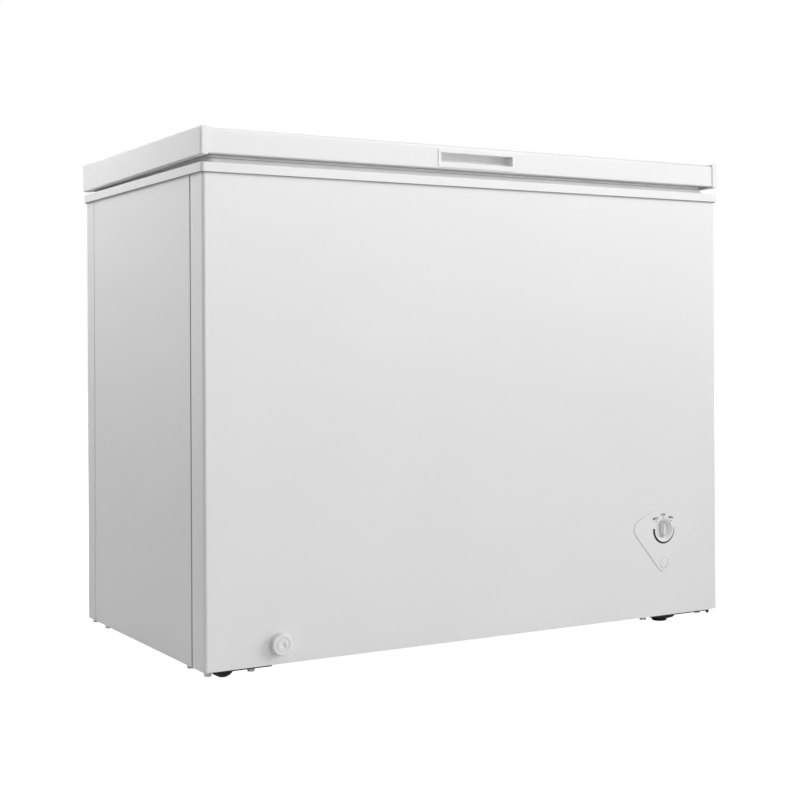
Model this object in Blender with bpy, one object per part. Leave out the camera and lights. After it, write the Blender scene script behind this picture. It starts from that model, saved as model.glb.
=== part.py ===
"""A chest freezer: foamed steel cabinet on two rollers and two levelling feet, a hinged foamed lid,
a stepped tub over the compressor bay, and the cooling circuit between skin and liner.

All lengths are in metres. Every piece is modelled in cabinet coordinates: x runs to the right
from the cabinet's left face, y runs back from its front face, and z runs up from its lower edge.
The cabinet_corner empty then stands the whole assembly on the floor, centred on the origin.
"""

import math

import bmesh
import bpy
from mathutils import Matrix, Quaternion, Vector

# Cabinet shell
CABINET_W = 1.034
CABINET_D = 0.5485
FLOOR_GAP = 0.020  # the floor to the cabinet's lower edge
SHEET = 0.0008
SHELL_TOP = 0.7695  # upper edge of the skins, hidden inside the top frame
CORNER_R = 0.006
FRONT_RETURN = 0.057  # the front skin wraps round the corners this far
REAR_RETURN = 0.042
FRONT_SEAM = 0.0025
REAR_SEAM = 0.0020
FIT = 0.0004  # the gap left between neighbouring pieces

# Tub
WALL = 0.060  # outer face of the cabinet to inner face of the tub
TUB_FLOOR = 0.060
STEP_X = 0.724  # the tub's floor steps up here, over the compressor bay
STEP_Z = 0.330
TUB_R = 0.020
LINER_T = 0.001
ROUND_STEPS = 4  # facets in each rounded corner of the tub and the frame

# Compressor bay
BAY_X = 0.7715
BAY_TOP = 0.270
COMPRESSOR = Vector((0.900, 0.330, 0.0))
COMPRESSOR_R = 0.075
COMPRESSOR_FOOT = Vector((0.090, 0.055))  # half the foot plate
COMPRESSOR_POST = Vector((0.078, 0.042))  # the rubber posts, from the middle
TRAY_EDGE_Z = 0.0220

# Cooling circuit
EVAPORATOR_R = 0.0036
EVAPORATOR_LEVELS = (0.400, 0.520, 0.640)
CONDENSER_R = 0.0024
CONDENSER_LEVELS = (0.440, 0.560, 0.680)
COIL_BEND = 0.018
CAPILLARY_R = 0.0012
CAPILLARY_X = 0.800
CAPILLARY_Y = 0.120
SENSOR_R = 0.0015
SENSOR_X = 0.935
SENSOR_Y = 0.060
TUBE_END = BAY_TOP + 0.040  # the capillary and the sensor end here, inside the foam

# Air grille on the right side
GRILLE_Y = (0.110, 0.440)
GRILLE_Z = (0.050, 0.230)
GRILLE_T = 0.0025
GRILLE_SLOTS = 8
GRILLE_FRAME_Y = 0.014
GRILLE_FRAME_Z = 0.012
GRILLE_LAP = 0.010  # the grille overlaps the skin's opening by this

# Rear access cover and the cord's gland
COVER_X = (0.803, 1.012)
COVER_Z = (0.032, 0.248)
COVER_T = 0.0015
COVER_LAP = 0.008
LOUVRES = 6
LOUVRE_X = (0.850, 0.965)
LOUVRE_Z = 0.070
LOUVRE_H = 0.010
LOUVRE_PITCH = 0.026
GLAND = Vector((0.788, CABINET_D, 0.055))

# Top frame
FRAME_SKIRT_Z = 0.7625
BAND_TOP = 0.7770
RIM_TOP = 0.7860
LEDGE_Z = 0.7760
FRAME_OUT = 0.0038  # the frame stands this far outside the skins

# Lid
LID_BOTTOM = 0.7907
LID_TOP = 0.8305
LID_STEEL_OUT = 0.0034  # the lid's steel stands this far in front of the cabinet
CAP_OUT_X = 0.0050
CAP_OUT_Y = 0.0052
CAP_W = 0.013
CAP_LOW = (0.7885, 0.7830)  # an end cap's lower edge, at the front and at the rear
CAP_TOP = 0.8325
CAP_R = 0.004

# Lid handle
HANDLE_X = (0.4210, 0.5740)
HANDLE_Z = (0.7935, 0.8240)
RECESS_X = (0.4260, 0.5710)
RECESS_Z = (0.8015, 0.8180)
RECESS_DEPTH = 0.0185
CUP_WALL = 0.002

# Lid hinges
HINGE_X = (0.150, 0.884)
PIVOT_Y = 0.562
PIVOT_Z = 0.780
HINGE_REAR = 0.571
PIN_R = 0.003
CAM_R = 0.009
CAM_DROP = 0.004  # how much the cam's radius falls as the lid opens
LID_SWING = 85  # degrees
PLUNGER_TOP = PIVOT_Z - CAM_R - 0.0012
PLUNGER_Y = CABINET_D + 0.0125
SPRING_R = 0.0065
SPRING_WIRE = 0.0010
SPRING_Z = (0.6980, 0.7440)
SPRING_TURNS = 6
BRACKET_LOW = 0.695
BRACKET_HALF = 0.0150
BRACKET_SHEET = 0.0015
ARM_HALF = 0.0120
ARM_SHEET = 0.0020

# Thermostat and indicator
DIAL = Vector((0.9038, 0.0, 0.156))
LAMP_Z = 0.0956
BEZEL_HALF_W = 0.0675
BEZEL_TOP = 0.1908
BEZEL_TOP_R = 0.115
BEZEL_SHOULDER_R = 0.017
BEZEL_TIP_Z = 0.095
BEZEL_TIP_R = 0.014
BEZEL_PROUD = 0.0013
KNOB_R = 0.0137
KNOB_FACE = 0.0066

# Drain
DRAIN = Vector((0.1263, 0.0, 0.0316))
DRAIN_R = 0.008
DRAIN_BORE = 0.006
DRAIN_Y = 0.110  # the drain hole in the tub's floor
DRAIN_BEND = 0.012
CAP_OUTER_R = 0.0173
CAP_LENGTH = 0.012

# Rollers and levelling feet
ROLLER_X = 0.050
FOOT_X = 0.937
STAND_Y = (0.052, 0.506)
WHEEL_R = 0.0205
WHEEL_W = 0.020
AXLE_R = 0.0025
WHEEL_Z = WHEEL_R - FLOOR_GAP
PLATE_Z = (-0.0015, 0.0002)
PLATE_HALF_Y = 0.041
PLATE_R = 0.006
BORE_FIT = 0.0003  # radial clearance of a turning pin

# Basket
BASKET_X = (0.735, 0.955)
BASKET_Z = (0.575, LEDGE_Z + FIT)
BASKET_WALL = 0.004
BASKET_GAP = 0.006  # from the tub's front and rear walls
HOOK_INSET = 0.0515  # from the cabinet's front and rear faces to the hooks' ends

FRONT = -(HINGE_REAR - CAP_LENGTH) / 2  # centres the whole depth, drain cap to hinges, on the origin
ORIGIN = Vector((-CABINET_W / 2, FRONT, FLOOR_GAP))

COLOURS = {
    "white_steel": ((0.86, 0.87, 0.87), 0.32, 0.0),
    "white_plastic": ((0.84, 0.85, 0.85), 0.45, 0.0),
    "liner": ((0.88, 0.89, 0.89), 0.40, 0.0),
    "gasket": ((0.45, 0.46, 0.47), 0.60, 0.0),
    "foam": ((0.86, 0.78, 0.55), 0.90, 0.0),
    "zinc_steel": ((0.62, 0.63, 0.64), 0.40, 1.0),
    "black_plastic": ((0.03, 0.03, 0.03), 0.50, 0.0),
    "black_steel": ((0.02, 0.02, 0.02), 0.35, 0.3),
    "copper": ((0.72, 0.38, 0.22), 0.30, 1.0),
    "aluminium": ((0.75, 0.76, 0.77), 0.35, 1.0),
    "lamp": ((0.90, 0.88, 0.80), 0.25, 0.0),
    "wheel": ((0.05, 0.05, 0.05), 0.55, 0.0),
}


# ---------------------------------------------------------------- scene and materials


def clear_scene():
    for obj in list(bpy.data.objects):
        bpy.data.objects.remove(obj, do_unlink=True)


def material(name):
    found = bpy.data.materials.get(name)
    if found:
        return found
    colour, roughness, metallic = COLOURS[name]
    made = bpy.data.materials.new(name)
    made.use_nodes = True
    shader = made.node_tree.nodes["Principled BSDF"]
    shader.inputs["Base Color"].default_value = (*colour, 1.0)
    shader.inputs["Roughness"].default_value = roughness
    shader.inputs["Metallic"].default_value = metallic
    return made


def add_empty(name, place, parent=None):
    empty = bpy.data.objects.new(name, None)
    empty.location = place
    empty.parent = parent
    bpy.context.scene.collection.objects.link(empty)
    return empty


def add_object(name, bm, finish, smooth=False):
    """Makes an object of a closed bmesh, with its faces pointing out."""
    bmesh.ops.recalc_face_normals(bm, faces=bm.faces)
    mesh = bpy.data.meshes.new(name)
    bm.to_mesh(mesh)
    bm.free()
    mesh.materials.append(material(finish))
    obj = bpy.data.objects.new(name, mesh)
    bpy.context.scene.collection.objects.link(obj)
    if smooth:
        mesh.shade_smooth()
        mesh.set_sharp_from_angle(angle=math.radians(35))
    return obj


def place(obj, parent, axis_point=None):
    """Parents a piece, and moves its origin to the point that it turns or slides about."""
    point = Vector(axis_point) if axis_point else Vector()
    obj.data.transform(Matrix.Translation(-point))
    obj.parent = parent
    obj.location = point - (parent.location - ORIGIN)
    return obj


# ---------------------------------------------------------------- shapes


def arc(centre, radius, start, end, steps):
    """Points on a circle from one angle to another, in degrees."""
    points = []
    for i in range(steps + 1):
        angle = math.radians(start + (end - start) * i / steps)
        points.append((centre[0] + radius * math.cos(angle), centre[1] + radius * math.sin(angle)))
    return points


def rounded_rectangle(low, high, radius, steps=3):
    x0, y0 = low
    x1, y1 = high
    points = []
    points += arc((x0 + radius, y0 + radius), radius, 180, 270, steps)
    points += arc((x1 - radius, y0 + radius), radius, 270, 360, steps)
    points += arc((x1 - radius, y1 - radius), radius, 0, 90, steps)
    points += arc((x0 + radius, y1 - radius), radius, 90, 180, steps)
    return points


def skin_rings(bm, rings, closed=False):
    """Joins rings of points into one surface; open ends are capped."""
    loops = [[bm.verts.new(p) for p in ring] for ring in rings]
    pairs = list(zip(loops, loops[1:]))
    if closed:
        pairs.append((loops[-1], loops[0]))
    for a, b in pairs:
        for i in range(len(a)):
            j = (i + 1) % len(a)
            bm.faces.new((a[i], a[j], b[j], b[i]))
    if not closed:
        bm.faces.new(list(reversed(loops[0])))
        bm.faces.new(loops[-1])


def extrude(outline, axis, low, high):
    """A flat outline given in the other two axes, drawn out along x, y or z."""
    order = {"x": lambda a, b, h: (h, a, b), "y": lambda a, b, h: (a, h, b), "z": lambda a, b, h: (a, b, h)}
    put = order[axis]
    bm = bmesh.new()
    skin_rings(bm, [[put(a, b, h) for a, b in outline] for h in (low, high)])
    return bm


def block(low, high):
    outline = [(low[0], low[1]), (high[0], low[1]), (high[0], high[1]), (low[0], high[1])]
    return extrude(outline, "z", low[2], high[2])


def turned(profile, centre, axis, segments=24):
    """A closed profile of (radius, height) turned about an axis; a radius of 0 closes on the axis."""
    put = {
        "x": lambda r, h, c, s: (h, r * c, r * s),
        "y": lambda r, h, c, s: (r * c, h, r * s),
        "z": lambda r, h, c, s: (r * c, r * s, h),
    }[axis]
    centre = Vector(centre)
    bm = bmesh.new()
    rings = []
    for radius, height in profile:
        if radius == 0:
            rings.append([bm.verts.new(centre + Vector(put(0, height, 1, 0)))])
            continue
        ring = []
        for i in range(segments):
            angle = 2 * math.pi * i / segments
            ring.append(bm.verts.new(centre + Vector(put(radius, height, math.cos(angle), math.sin(angle)))))
        rings.append(ring)
    pairs = list(zip(rings, rings[1:]))
    if profile[0][0] > 0:
        pairs.append((rings[-1], rings[0]))
    for a, b in pairs:
        for i in range(segments):
            j = (i + 1) % segments
            if len(a) == 1:
                bm.faces.new((a[0], b[j], b[i]))
            elif len(b) == 1:
                bm.faces.new((a[i], a[j], b[0]))
            else:
                bm.faces.new((a[i], a[j], b[j], b[i]))
    return bm


def cylinder(centre, axis, radius, low, high, segments=24):
    return turned([(0, low), (radius, low), (radius, high), (0, high)], centre, axis, segments)


def rounded_path(points, radius, steps=3):
    """A path of straight runs with each inner corner turned by an arc."""
    points = [Vector(p) for p in points]
    path = [points[0]]
    for before, corner, after in zip(points, points[1:], points[2:]):
        back = (before - corner).normalized()
        on = (after - corner).normalized()
        half = back.angle(on) / 2
        reach = radius / math.tan(half)
        centre = corner + (back + on).normalized() * (radius / math.sin(half))
        start = corner + back * reach - centre
        turn = start.rotation_difference(corner + on * reach - centre)
        for i in range(steps + 1):
            path.append(centre + Quaternion(turn.axis, turn.angle * i / steps) @ start)
    path.append(points[-1])
    return path


def path_rings(path, radius, sides):
    """Rings round a path, carried along it without twist."""
    rings = []
    side = None
    for i, point in enumerate(path):
        before = path[max(i - 1, 0)]
        after = path[min(i + 1, len(path) - 1)]
        along = (after - before).normalized()
        if side is None:
            side = along.orthogonal().normalized()
        side = (side - along * side.dot(along)).normalized()
        up = along.cross(side)
        ring = []
        for k in range(sides):
            angle = 2 * math.pi * (k + 0.5) / sides
            ring.append(point + side * radius * math.cos(angle) + up * radius * math.sin(angle))
        rings.append(ring)
    return rings


def rod(path, radius, sides=6):
    bm = bmesh.new()
    skin_rings(bm, path_rings(path, radius, sides))
    return bm


def hollow_rod(path, radius, bore, sides=12):
    bm = bmesh.new()
    outer = path_rings(path, radius, sides)
    inner = path_rings(path, bore, sides)
    skin_rings(bm, outer + list(reversed(inner)), closed=True)
    return bm


def cabinet_ring(inset, z, radius, steps=ROUND_STEPS):
    """The cabinet's plan outline, moved in by an inset, with rounded corners."""
    low = (inset, inset)
    high = (CABINET_W - inset, CABINET_D - inset)
    return [(x, y, z) for x, y in rounded_rectangle(low, high, radius, steps)]


def boolean(target, bm, operation):
    """Applies one exact boolean with a throwaway tool."""
    tool = add_object("boolean_tool", bm, "white_steel")
    modifier = target.modifiers.new("boolean", "BOOLEAN")
    modifier.operation = operation
    modifier.solver = "EXACT"
    modifier.object = tool
    bpy.context.view_layer.update()
    depsgraph = bpy.context.evaluated_depsgraph_get()
    result = bpy.data.meshes.new_from_object(target.evaluated_get(depsgraph))
    target.modifiers.remove(modifier)
    finish = target.data.materials[0]
    target.data = result
    result.materials.clear()
    result.materials.append(finish)
    bpy.data.objects.remove(tool, do_unlink=True)
    return target


def cut(target, bm):
    return boolean(target, bm, "DIFFERENCE")


def merge(target, bm):
    return boolean(target, bm, "UNION")


def bevel_all(bm, width, segments):
    bmesh.ops.bevel(
        bm,
        geom=list(bm.edges),
        offset=width,
        offset_type="OFFSET",
        segments=segments,
        profile=0.5,
        affect="EDGES",
    )
    return bm


# ---------------------------------------------------------------- cabinet


def wrapped_skin(closed_y, open_y, reach_in):
    """Plan outline of a skin that wraps round two corners of the cabinet."""
    sign = 1 if open_y > closed_y else -1
    outline = []
    for inset, backwards in ((0.0, False), (reach_in, True)):
        radius = CORNER_R - inset
        left = (inset + radius, closed_y + sign * (inset + radius))
        right = (CABINET_W - inset - radius, left[1])
        turn = 90 * sign
        run = [(inset, open_y)]
        run += arc(left, radius, 180, 180 + turn, 3)
        run += arc(right, radius, 180 + turn, 180 + 2 * turn, 3)
        run += [(CABINET_W - inset, open_y)]
        outline += reversed(run) if backwards else run
    return outline


def front_panel(parent):
    outline = wrapped_skin(0.0, FRONT_RETURN, SHEET)
    panel = add_object("front_panel", extrude(outline, "z", 0.0, SHELL_TOP), "white_steel")
    cut(panel, extrude(bezel_outline(-0.0036), "y", -0.01, 0.01))
    cut(panel, cylinder(DRAIN, "y", DRAIN_R + FIT, -0.01, 0.01))
    return place(panel, parent)


def rear_panel(parent):
    outline = wrapped_skin(CABINET_D, CABINET_D - REAR_RETURN, SHEET)
    panel = add_object("rear_panel", extrude(outline, "z", 0.0, SHELL_TOP), "white_steel")
    cut(panel, block((COVER_X[0] + COVER_LAP, CABINET_D - 0.01, COVER_Z[0] + COVER_LAP),
                     (COVER_X[1] - COVER_LAP, CABINET_D + 0.01, COVER_Z[1] - COVER_LAP)))
    cut(panel, cylinder(GLAND, "y", 0.0064, -0.02, 0.02))
    return place(panel, parent)


def side_panel(name, x0, parent):
    low = (x0, FRONT_RETURN + FRONT_SEAM, 0.0)
    high = (x0 + SHEET, CABINET_D - REAR_RETURN - REAR_SEAM, SHELL_TOP)
    return place(add_object(name, block(low, high), "white_steel"), parent)


def right_side_panel(parent):
    panel = side_panel("right_side_panel", CABINET_W - SHEET, parent)
    cut(panel, block((CABINET_W - 0.01, GRILLE_Y[0] + GRILLE_LAP, GRILLE_Z[0] + GRILLE_LAP),
                     (CABINET_W + 0.01, GRILLE_Y[1] - GRILLE_LAP, GRILLE_Z[1] - GRILLE_LAP)))
    return panel


def side_grille(parent):
    """A plastic louvre plate over the compressor bay's air opening."""
    low = (CABINET_W + FIT, GRILLE_Y[0], GRILLE_Z[0])
    high = (CABINET_W + FIT + GRILLE_T, GRILLE_Y[1], GRILLE_Z[1])
    grille = add_object("side_grille", block(low, high), "white_plastic")
    pitch = (GRILLE_Z[1] - GRILLE_Z[0] - 2 * GRILLE_FRAME_Z) / GRILLE_SLOTS
    for i in range(GRILLE_SLOTS):
        z0 = GRILLE_Z[0] + GRILLE_FRAME_Z + pitch * (i + 0.25)
        cut(grille, block((CABINET_W - 0.01, GRILLE_Y[0] + GRILLE_FRAME_Y, z0),
                          (CABINET_W + 0.01, GRILLE_Y[1] - GRILLE_FRAME_Y, z0 + pitch * 0.5)))
    return place(grille, parent)


def rear_access_cover(parent):
    low = (COVER_X[0], CABINET_D + FIT, COVER_Z[0])
    high = (COVER_X[1], CABINET_D + FIT + COVER_T, COVER_Z[1])
    cover = add_object("rear_access_cover", block(low, high), "zinc_steel")
    for i in range(LOUVRES):
        z0 = LOUVRE_Z + LOUVRE_PITCH * i
        cut(cover, block((LOUVRE_X[0], CABINET_D - 0.01, z0),
                         (LOUVRE_X[1], CABINET_D + 0.01, z0 + LOUVRE_H)))
    return place(cover, parent)


def base_panel(parent):
    outline = [(0.0016, 0.0076), (0.0076, 0.0016), (BAY_X - FIT, 0.0016), (BAY_X - FIT, CABINET_D - 0.0016),
               (0.0076, CABINET_D - 0.0016), (0.0016, CABINET_D - 0.0076)]
    panel = add_object("base_panel", extrude(outline, "z", 0.0005, 0.0013), "zinc_steel")
    for y in STAND_Y:
        cut(panel, block((ROLLER_X - 0.032, y - 0.019, -0.01), (ROLLER_X + 0.032, y + 0.019, 0.01)))
    return place(panel, parent)


def compressor_tray(parent):
    """The bay's floor, with a turned-up edge against the foam."""
    right = CABINET_W - 0.0016
    rear = CABINET_D - 0.0016
    outline = [(BAY_X + FIT, 0.0005), (right, 0.0005), (right, 0.0025), (BAY_X + 0.0024, 0.0025),
               (BAY_X + 0.0024, TRAY_EDGE_Z), (BAY_X + FIT, TRAY_EDGE_Z)]
    tray = add_object("compressor_tray", extrude(outline, "y", 0.0076, rear - 0.0060), "zinc_steel")
    for y in STAND_Y:
        cut(tray, cylinder((FOOT_X, y, 0), "z", 0.0065, -0.01, 0.01, 16))
    return place(tray, parent)


def tub_solid(grow, top):
    """The tub's inner space: a deep well and a step, widened by grow, with rounded edges."""
    x0 = WALL - grow
    x1 = CABINET_W - WALL + grow
    y0 = WALL - grow
    y1 = CABINET_D - WALL + grow
    well = block((x0, y0, TUB_FLOOR - grow), (STEP_X + grow, y1, top))
    shelf = block((x0, y0, STEP_Z - grow), (x1, y1, top))
    tub = add_object("tub_tool", bevel_all(well, TUB_R + grow, ROUND_STEPS), "white_steel")
    merge(tub, bevel_all(shelf, TUB_R + grow, ROUND_STEPS))
    bm = bmesh.new()
    bm.from_mesh(tub.data)
    bpy.data.objects.remove(tub, do_unlink=True)
    return bm


def above(z):
    return block((-0.1, -0.1, z), (CABINET_W + 0.1, CABINET_D + 0.1, z + 0.2))


def inner_liner(parent):
    top = SHELL_TOP + 0.05
    liner = add_object("inner_liner", tub_solid(LINER_T, top), "liner")
    cut(liner, tub_solid(0.0, top + 0.01))
    cut(liner, above(SHELL_TOP - FIT))
    cut(liner, cylinder((DRAIN.x, DRAIN_Y, 0), "z", DRAIN_R + FIT, 0.05, 0.07))
    return place(liner, parent)


def wall_serpentine(inset, levels, turn_x, return_x, start_z):
    """A tube path over the front, left and rear walls, level by level, and back down at the rear."""
    front = inset
    rear = CABINET_D - inset
    points = [(turn_x, front, start_z)]
    for i, z in enumerate(levels):
        last = i == len(levels) - 1
        forwards = i % 2 == 0
        near, far = (front, rear) if forwards else (rear, front)
        points.append((turn_x, near, z))
        points.append((inset, near, z))
        points.append((inset, far, z))
        points.append((return_x if last else turn_x, far, z))
    points.append((return_x, rear, start_z))
    return rounded_path(points, COIL_BEND, 2)


def evaporator_path():
    return wall_serpentine(WALL - LINER_T - FIT - EVAPORATOR_R, EVAPORATOR_LEVELS, 0.915, 0.945, 0.245)


def condenser_path():
    return wall_serpentine(SHEET + FIT + CONDENSER_R, CONDENSER_LEVELS, 0.975, 1.010, 0.235)


def evaporator_coil(parent):
    coil = rod(evaporator_path(), EVAPORATOR_R)
    return place(add_object("evaporator_coil", coil, "aluminium", True), parent)


def condenser_coil(parent):
    coil = rod(condenser_path(), CONDENSER_R)
    return place(add_object("condenser_coil", coil, "copper", True), parent)


def foam_insulation(parent):
    """The rigid foam between the skins and the tub, open over the compressor bay."""
    inset = SHEET + FIT
    low = (inset, inset)
    high = (CABINET_W - inset, CABINET_D - inset)
    outline = rounded_rectangle(low, high, CORNER_R, 3)
    foam = add_object("foam_insulation", extrude(outline, "z", 0.0018, SHELL_TOP - FIT), "foam")
    cut(foam, tub_solid(LINER_T + FIT, SHELL_TOP + 0.05))
    cut(foam, block((BAY_X, -0.05, -0.05), (CABINET_W + 0.05, CABINET_D + 0.05, BAY_TOP)))
    for y in STAND_Y:
        cut(foam, block((ROLLER_X - 0.034, y - 0.019, -0.01), (ROLLER_X + 0.034, y + 0.019, 0.030)))
    cut(foam, rod(drain_path(0.02, 0.01), DRAIN_R + 0.0008, 12))
    cut(foam, rod(evaporator_path(), EVAPORATOR_R + 0.0014))
    cut(foam, rod(condenser_path(), CONDENSER_R + 0.0012))
    cut(foam, cylinder((CAPILLARY_X, CAPILLARY_Y, 0), "z", CAPILLARY_R + 0.0013, 0.2, TUBE_END + 0.005, 8))
    cut(foam, cylinder((SENSOR_X, SENSOR_Y, 0), "z", SENSOR_R * 2, 0.2, TUBE_END + 0.005, 8))
    return place(foam, parent)


def top_frame(parent):
    """The moulded collar that joins skins and liner and carries the lid's seal."""
    out = -FRAME_OUT
    lip = WALL + FIT
    profile = [
        (out, FRAME_SKIRT_Z, 0.010),
        (out, BAND_TOP - 0.0013, 0.010),
        (out + 0.0012, BAND_TOP, 0.009),
        (0.0120, BAND_TOP, 0.004),
        (0.0136, BAND_TOP + 0.0010, 0.004),
        (0.0153, BAND_TOP + 0.0040, 0.004),
        (0.0170, RIM_TOP, 0.004),
        (0.0450, RIM_TOP, 0.012),
        (0.0465, RIM_TOP - 0.0010, 0.012),
        (0.0480, LEDGE_Z + 0.0015, 0.012),
        (0.0495, LEDGE_Z, 0.012),
        (lip + 0.0003, LEDGE_Z, 0.0193),
        (lip + 0.0016, LEDGE_Z - 0.0015, 0.018),
        (lip + 0.0016, 0.7550, 0.018),
        (lip, 0.7550, 0.0196),
        (lip, SHELL_TOP + 0.0005, 0.0196),
        (-0.0013, SHELL_TOP + 0.0005, 0.0073),
        (-0.0013, FRAME_SKIRT_Z, 0.0073),
    ]
    bm = bmesh.new()
    skin_rings(bm, [cabinet_ring(*point) for point in profile], closed=True)
    return place(add_object("top_frame", bm, "white_plastic"), parent)


# ---------------------------------------------------------------- compressor bay


def compressor(parent):
    """A welded steel can on a pressed foot plate."""
    r = COMPRESSOR_R
    profile = [(0, 0.024), (0.042, 0.028), (0.066, 0.042), (r, 0.066), (r, 0.104), (r + 0.003, 0.106),
               (r + 0.003, 0.112), (r, 0.114), (r, 0.154), (0.066, 0.180), (0.042, 0.195), (0, 0.200)]
    can = add_object("compressor", turned(profile, COMPRESSOR, "z", 24), "black_steel", True)
    low = COMPRESSOR.xy - COMPRESSOR_FOOT
    high = COMPRESSOR.xy + COMPRESSOR_FOOT
    merge(can, extrude(rounded_rectangle(low, high, 0.015), "z", 0.0215, 0.0300))
    for dx in (-COMPRESSOR_POST.x, COMPRESSOR_POST.x):
        for dy in (-COMPRESSOR_POST.y, COMPRESSOR_POST.y):
            merge(can, cylinder(COMPRESSOR + Vector((dx, dy, 0)), "z", 0.009, 0.0029, 0.0250, 12))
    return place(can, parent)


def relay_cover(parent):
    low = Vector((COMPRESSOR.x - 0.026, COMPRESSOR.y - COMPRESSOR_R - 0.036, 0.070))
    high = Vector((COMPRESSOR.x + 0.026, COMPRESSOR.y - COMPRESSOR_R - 0.0035, 0.140))
    return place(add_object("relay_cover", bevel_all(block(low, high), 0.003, 2), "black_plastic"), parent)


def discharge_pipe(parent):
    end = condenser_path()[0]
    points = [(0.850, 0.2600, 0.150), (0.850, 0.150, 0.150), (end.x, 0.110, 0.200), (end.x, end.y, 0.200),
              (end.x, end.y, end.z - 0.0005)]
    pipe = rod(rounded_path(points, 0.010, 2), CONDENSER_R)
    return place(add_object("discharge_pipe", pipe, "copper", True), parent)


def suction_pipe(parent):
    end = evaporator_path()[-1]
    points = [(0.930, COMPRESSOR.y + COMPRESSOR_R, 0.090), (0.935, 0.450, 0.090), (end.x, end.y, 0.120),
              (end.x, end.y, end.z - 0.0005)]
    pipe = rod(rounded_path(points, 0.014, 2), EVAPORATOR_R)
    return place(add_object("suction_pipe", pipe, "copper", True), parent)


def liquid_line(parent):
    start = condenser_path()[-1]
    points = [(start.x, start.y, start.z - 0.0005), (start.x, start.y, 0.040), (start.x, 0.150, 0.040),
              (CAPILLARY_X, CAPILLARY_Y, 0.040), (CAPILLARY_X, CAPILLARY_Y, 0.0585)]
    pipe = rod(rounded_path(points, 0.008, 2), CONDENSER_R)
    return place(add_object("liquid_line", pipe, "copper", True), parent)


def filter_drier(parent):
    profile = [(0, 0.059), (0.0035, 0.059), (0.009, 0.070), (0.009, 0.160), (0.0035, 0.171), (0, 0.171)]
    drier = turned(profile, (CAPILLARY_X, CAPILLARY_Y, 0), "z", 12)
    return place(add_object("filter_drier", drier, "copper", True), parent)


def capillary_tube(parent):
    path = [Vector((CAPILLARY_X, CAPILLARY_Y, z)) for z in (0.1715, 0.240, TUBE_END)]
    return place(add_object("capillary_tube", rod(path, CAPILLARY_R), "copper", True), parent)


def power_inlet_gland(parent):
    profile = [(0, -0.010), (0.0060, -0.010), (0.0060, FIT), (0.0110, FIT), (0.0110, 0.0040),
               (0.0080, 0.0050), (0.0065, 0.0150), (0, 0.0150)]
    gland = turned(profile, GLAND, "y", 16)
    return place(add_object("power_inlet_gland", gland, "black_plastic", True), parent)


# ---------------------------------------------------------------- thermostat


def bezel_outline(grow):
    """A triangle on its tip with a crowned upper edge: arcs round the tip and both shoulders, as (x, z)."""
    side = BEZEL_HALF_W - BEZEL_SHOULDER_R
    crown = (DIAL.x, BEZEL_TOP - BEZEL_TOP_R)
    reach = BEZEL_TOP_R - BEZEL_SHOULDER_R
    shoulder_z = crown[1] + math.sqrt(reach ** 2 - side ** 2)
    crown_end = math.degrees(math.acos(side / reach))
    run = Vector((side, shoulder_z - BEZEL_TIP_Z))
    narrowing = math.asin((BEZEL_SHOULDER_R - BEZEL_TIP_R) / run.length)
    lean = math.degrees(math.atan2(run.y, run.x) - narrowing) - 90
    tip = (DIAL.x, BEZEL_TIP_Z)
    points = arc(tip, BEZEL_TIP_R + grow, -180 - lean, lean, 6)
    points += arc((DIAL.x + side, shoulder_z), BEZEL_SHOULDER_R + grow, lean, crown_end, 5)
    points += arc(crown, BEZEL_TOP_R + grow, crown_end, 180 - crown_end, 10)[1:-1]
    points += arc((DIAL.x - side, shoulder_z), BEZEL_SHOULDER_R + grow, 180 - crown_end, 180 - lean, 5)
    return points


def control_bezel(parent):
    back = 0.0125
    face = extrude(bezel_outline(0.0), "y", -BEZEL_PROUD, -0.0003)
    bezel = add_object("control_bezel", face, "white_plastic")
    merge(bezel, extrude(bezel_outline(-0.0040), "y", -0.0008, back))
    mouth = -BEZEL_PROUD - 0.0002
    dish = [(0, mouth), (0.0202, mouth), (KNOB_R + 0.0006, 0.0064), (KNOB_R + 0.0006, 0.0100), (0, 0.0100)]
    cut(bezel, turned(dish, DIAL, "y", 32))
    cut(bezel, cylinder(DIAL, "y", 0.0036, 0.005, 0.020, 16))
    cut(bezel, cylinder((DIAL.x, 0, LAMP_Z), "y", 0.0099, -0.01, 0.020, 24))
    return place(bezel, parent)


def thermostat_knob(parent):
    profile = [(0, KNOB_FACE), (KNOB_R - 0.0006, KNOB_FACE), (KNOB_R, KNOB_FACE + 0.0006), (KNOB_R, 0.0095),
               (0.0030, 0.0095), (0.0030, 0.0136), (0, 0.0136)]
    knob = add_object("thermostat_knob", turned(profile, DIAL, "y", 32), "white_plastic", True)
    half = 0.0035
    grip = [(DIAL.x - half, DIAL.z + 0.0120), (DIAL.x - half, DIAL.z - 0.0095), (DIAL.x, DIAL.z - 0.0130),
            (DIAL.x + half, DIAL.z - 0.0095), (DIAL.x + half, DIAL.z + 0.0120)]
    merge(knob, extrude(grip, "y", 0.0004, KNOB_FACE + 0.001))
    return place(knob, parent, DIAL)


def thermostat_body(parent):
    low = (DIAL.x - 0.018, 0.0140, DIAL.z - 0.022)
    high = (DIAL.x + 0.018, 0.0420, DIAL.z + 0.022)
    body = bevel_all(block(low, high), 0.002, 1)
    return place(add_object("thermostat_body", body, "black_plastic"), parent)


def thermostat_sensor(parent):
    points = [(DIAL.x + 0.008, 0.0425, DIAL.z), (DIAL.x + 0.008, SENSOR_Y, DIAL.z),
              (SENSOR_X, SENSOR_Y, 0.200), (SENSOR_X, SENSOR_Y, TUBE_END)]
    sensor = rod(rounded_path(points, 0.006, 2), SENSOR_R)
    return place(add_object("thermostat_sensor", sensor, "copper", True), parent)


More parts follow.
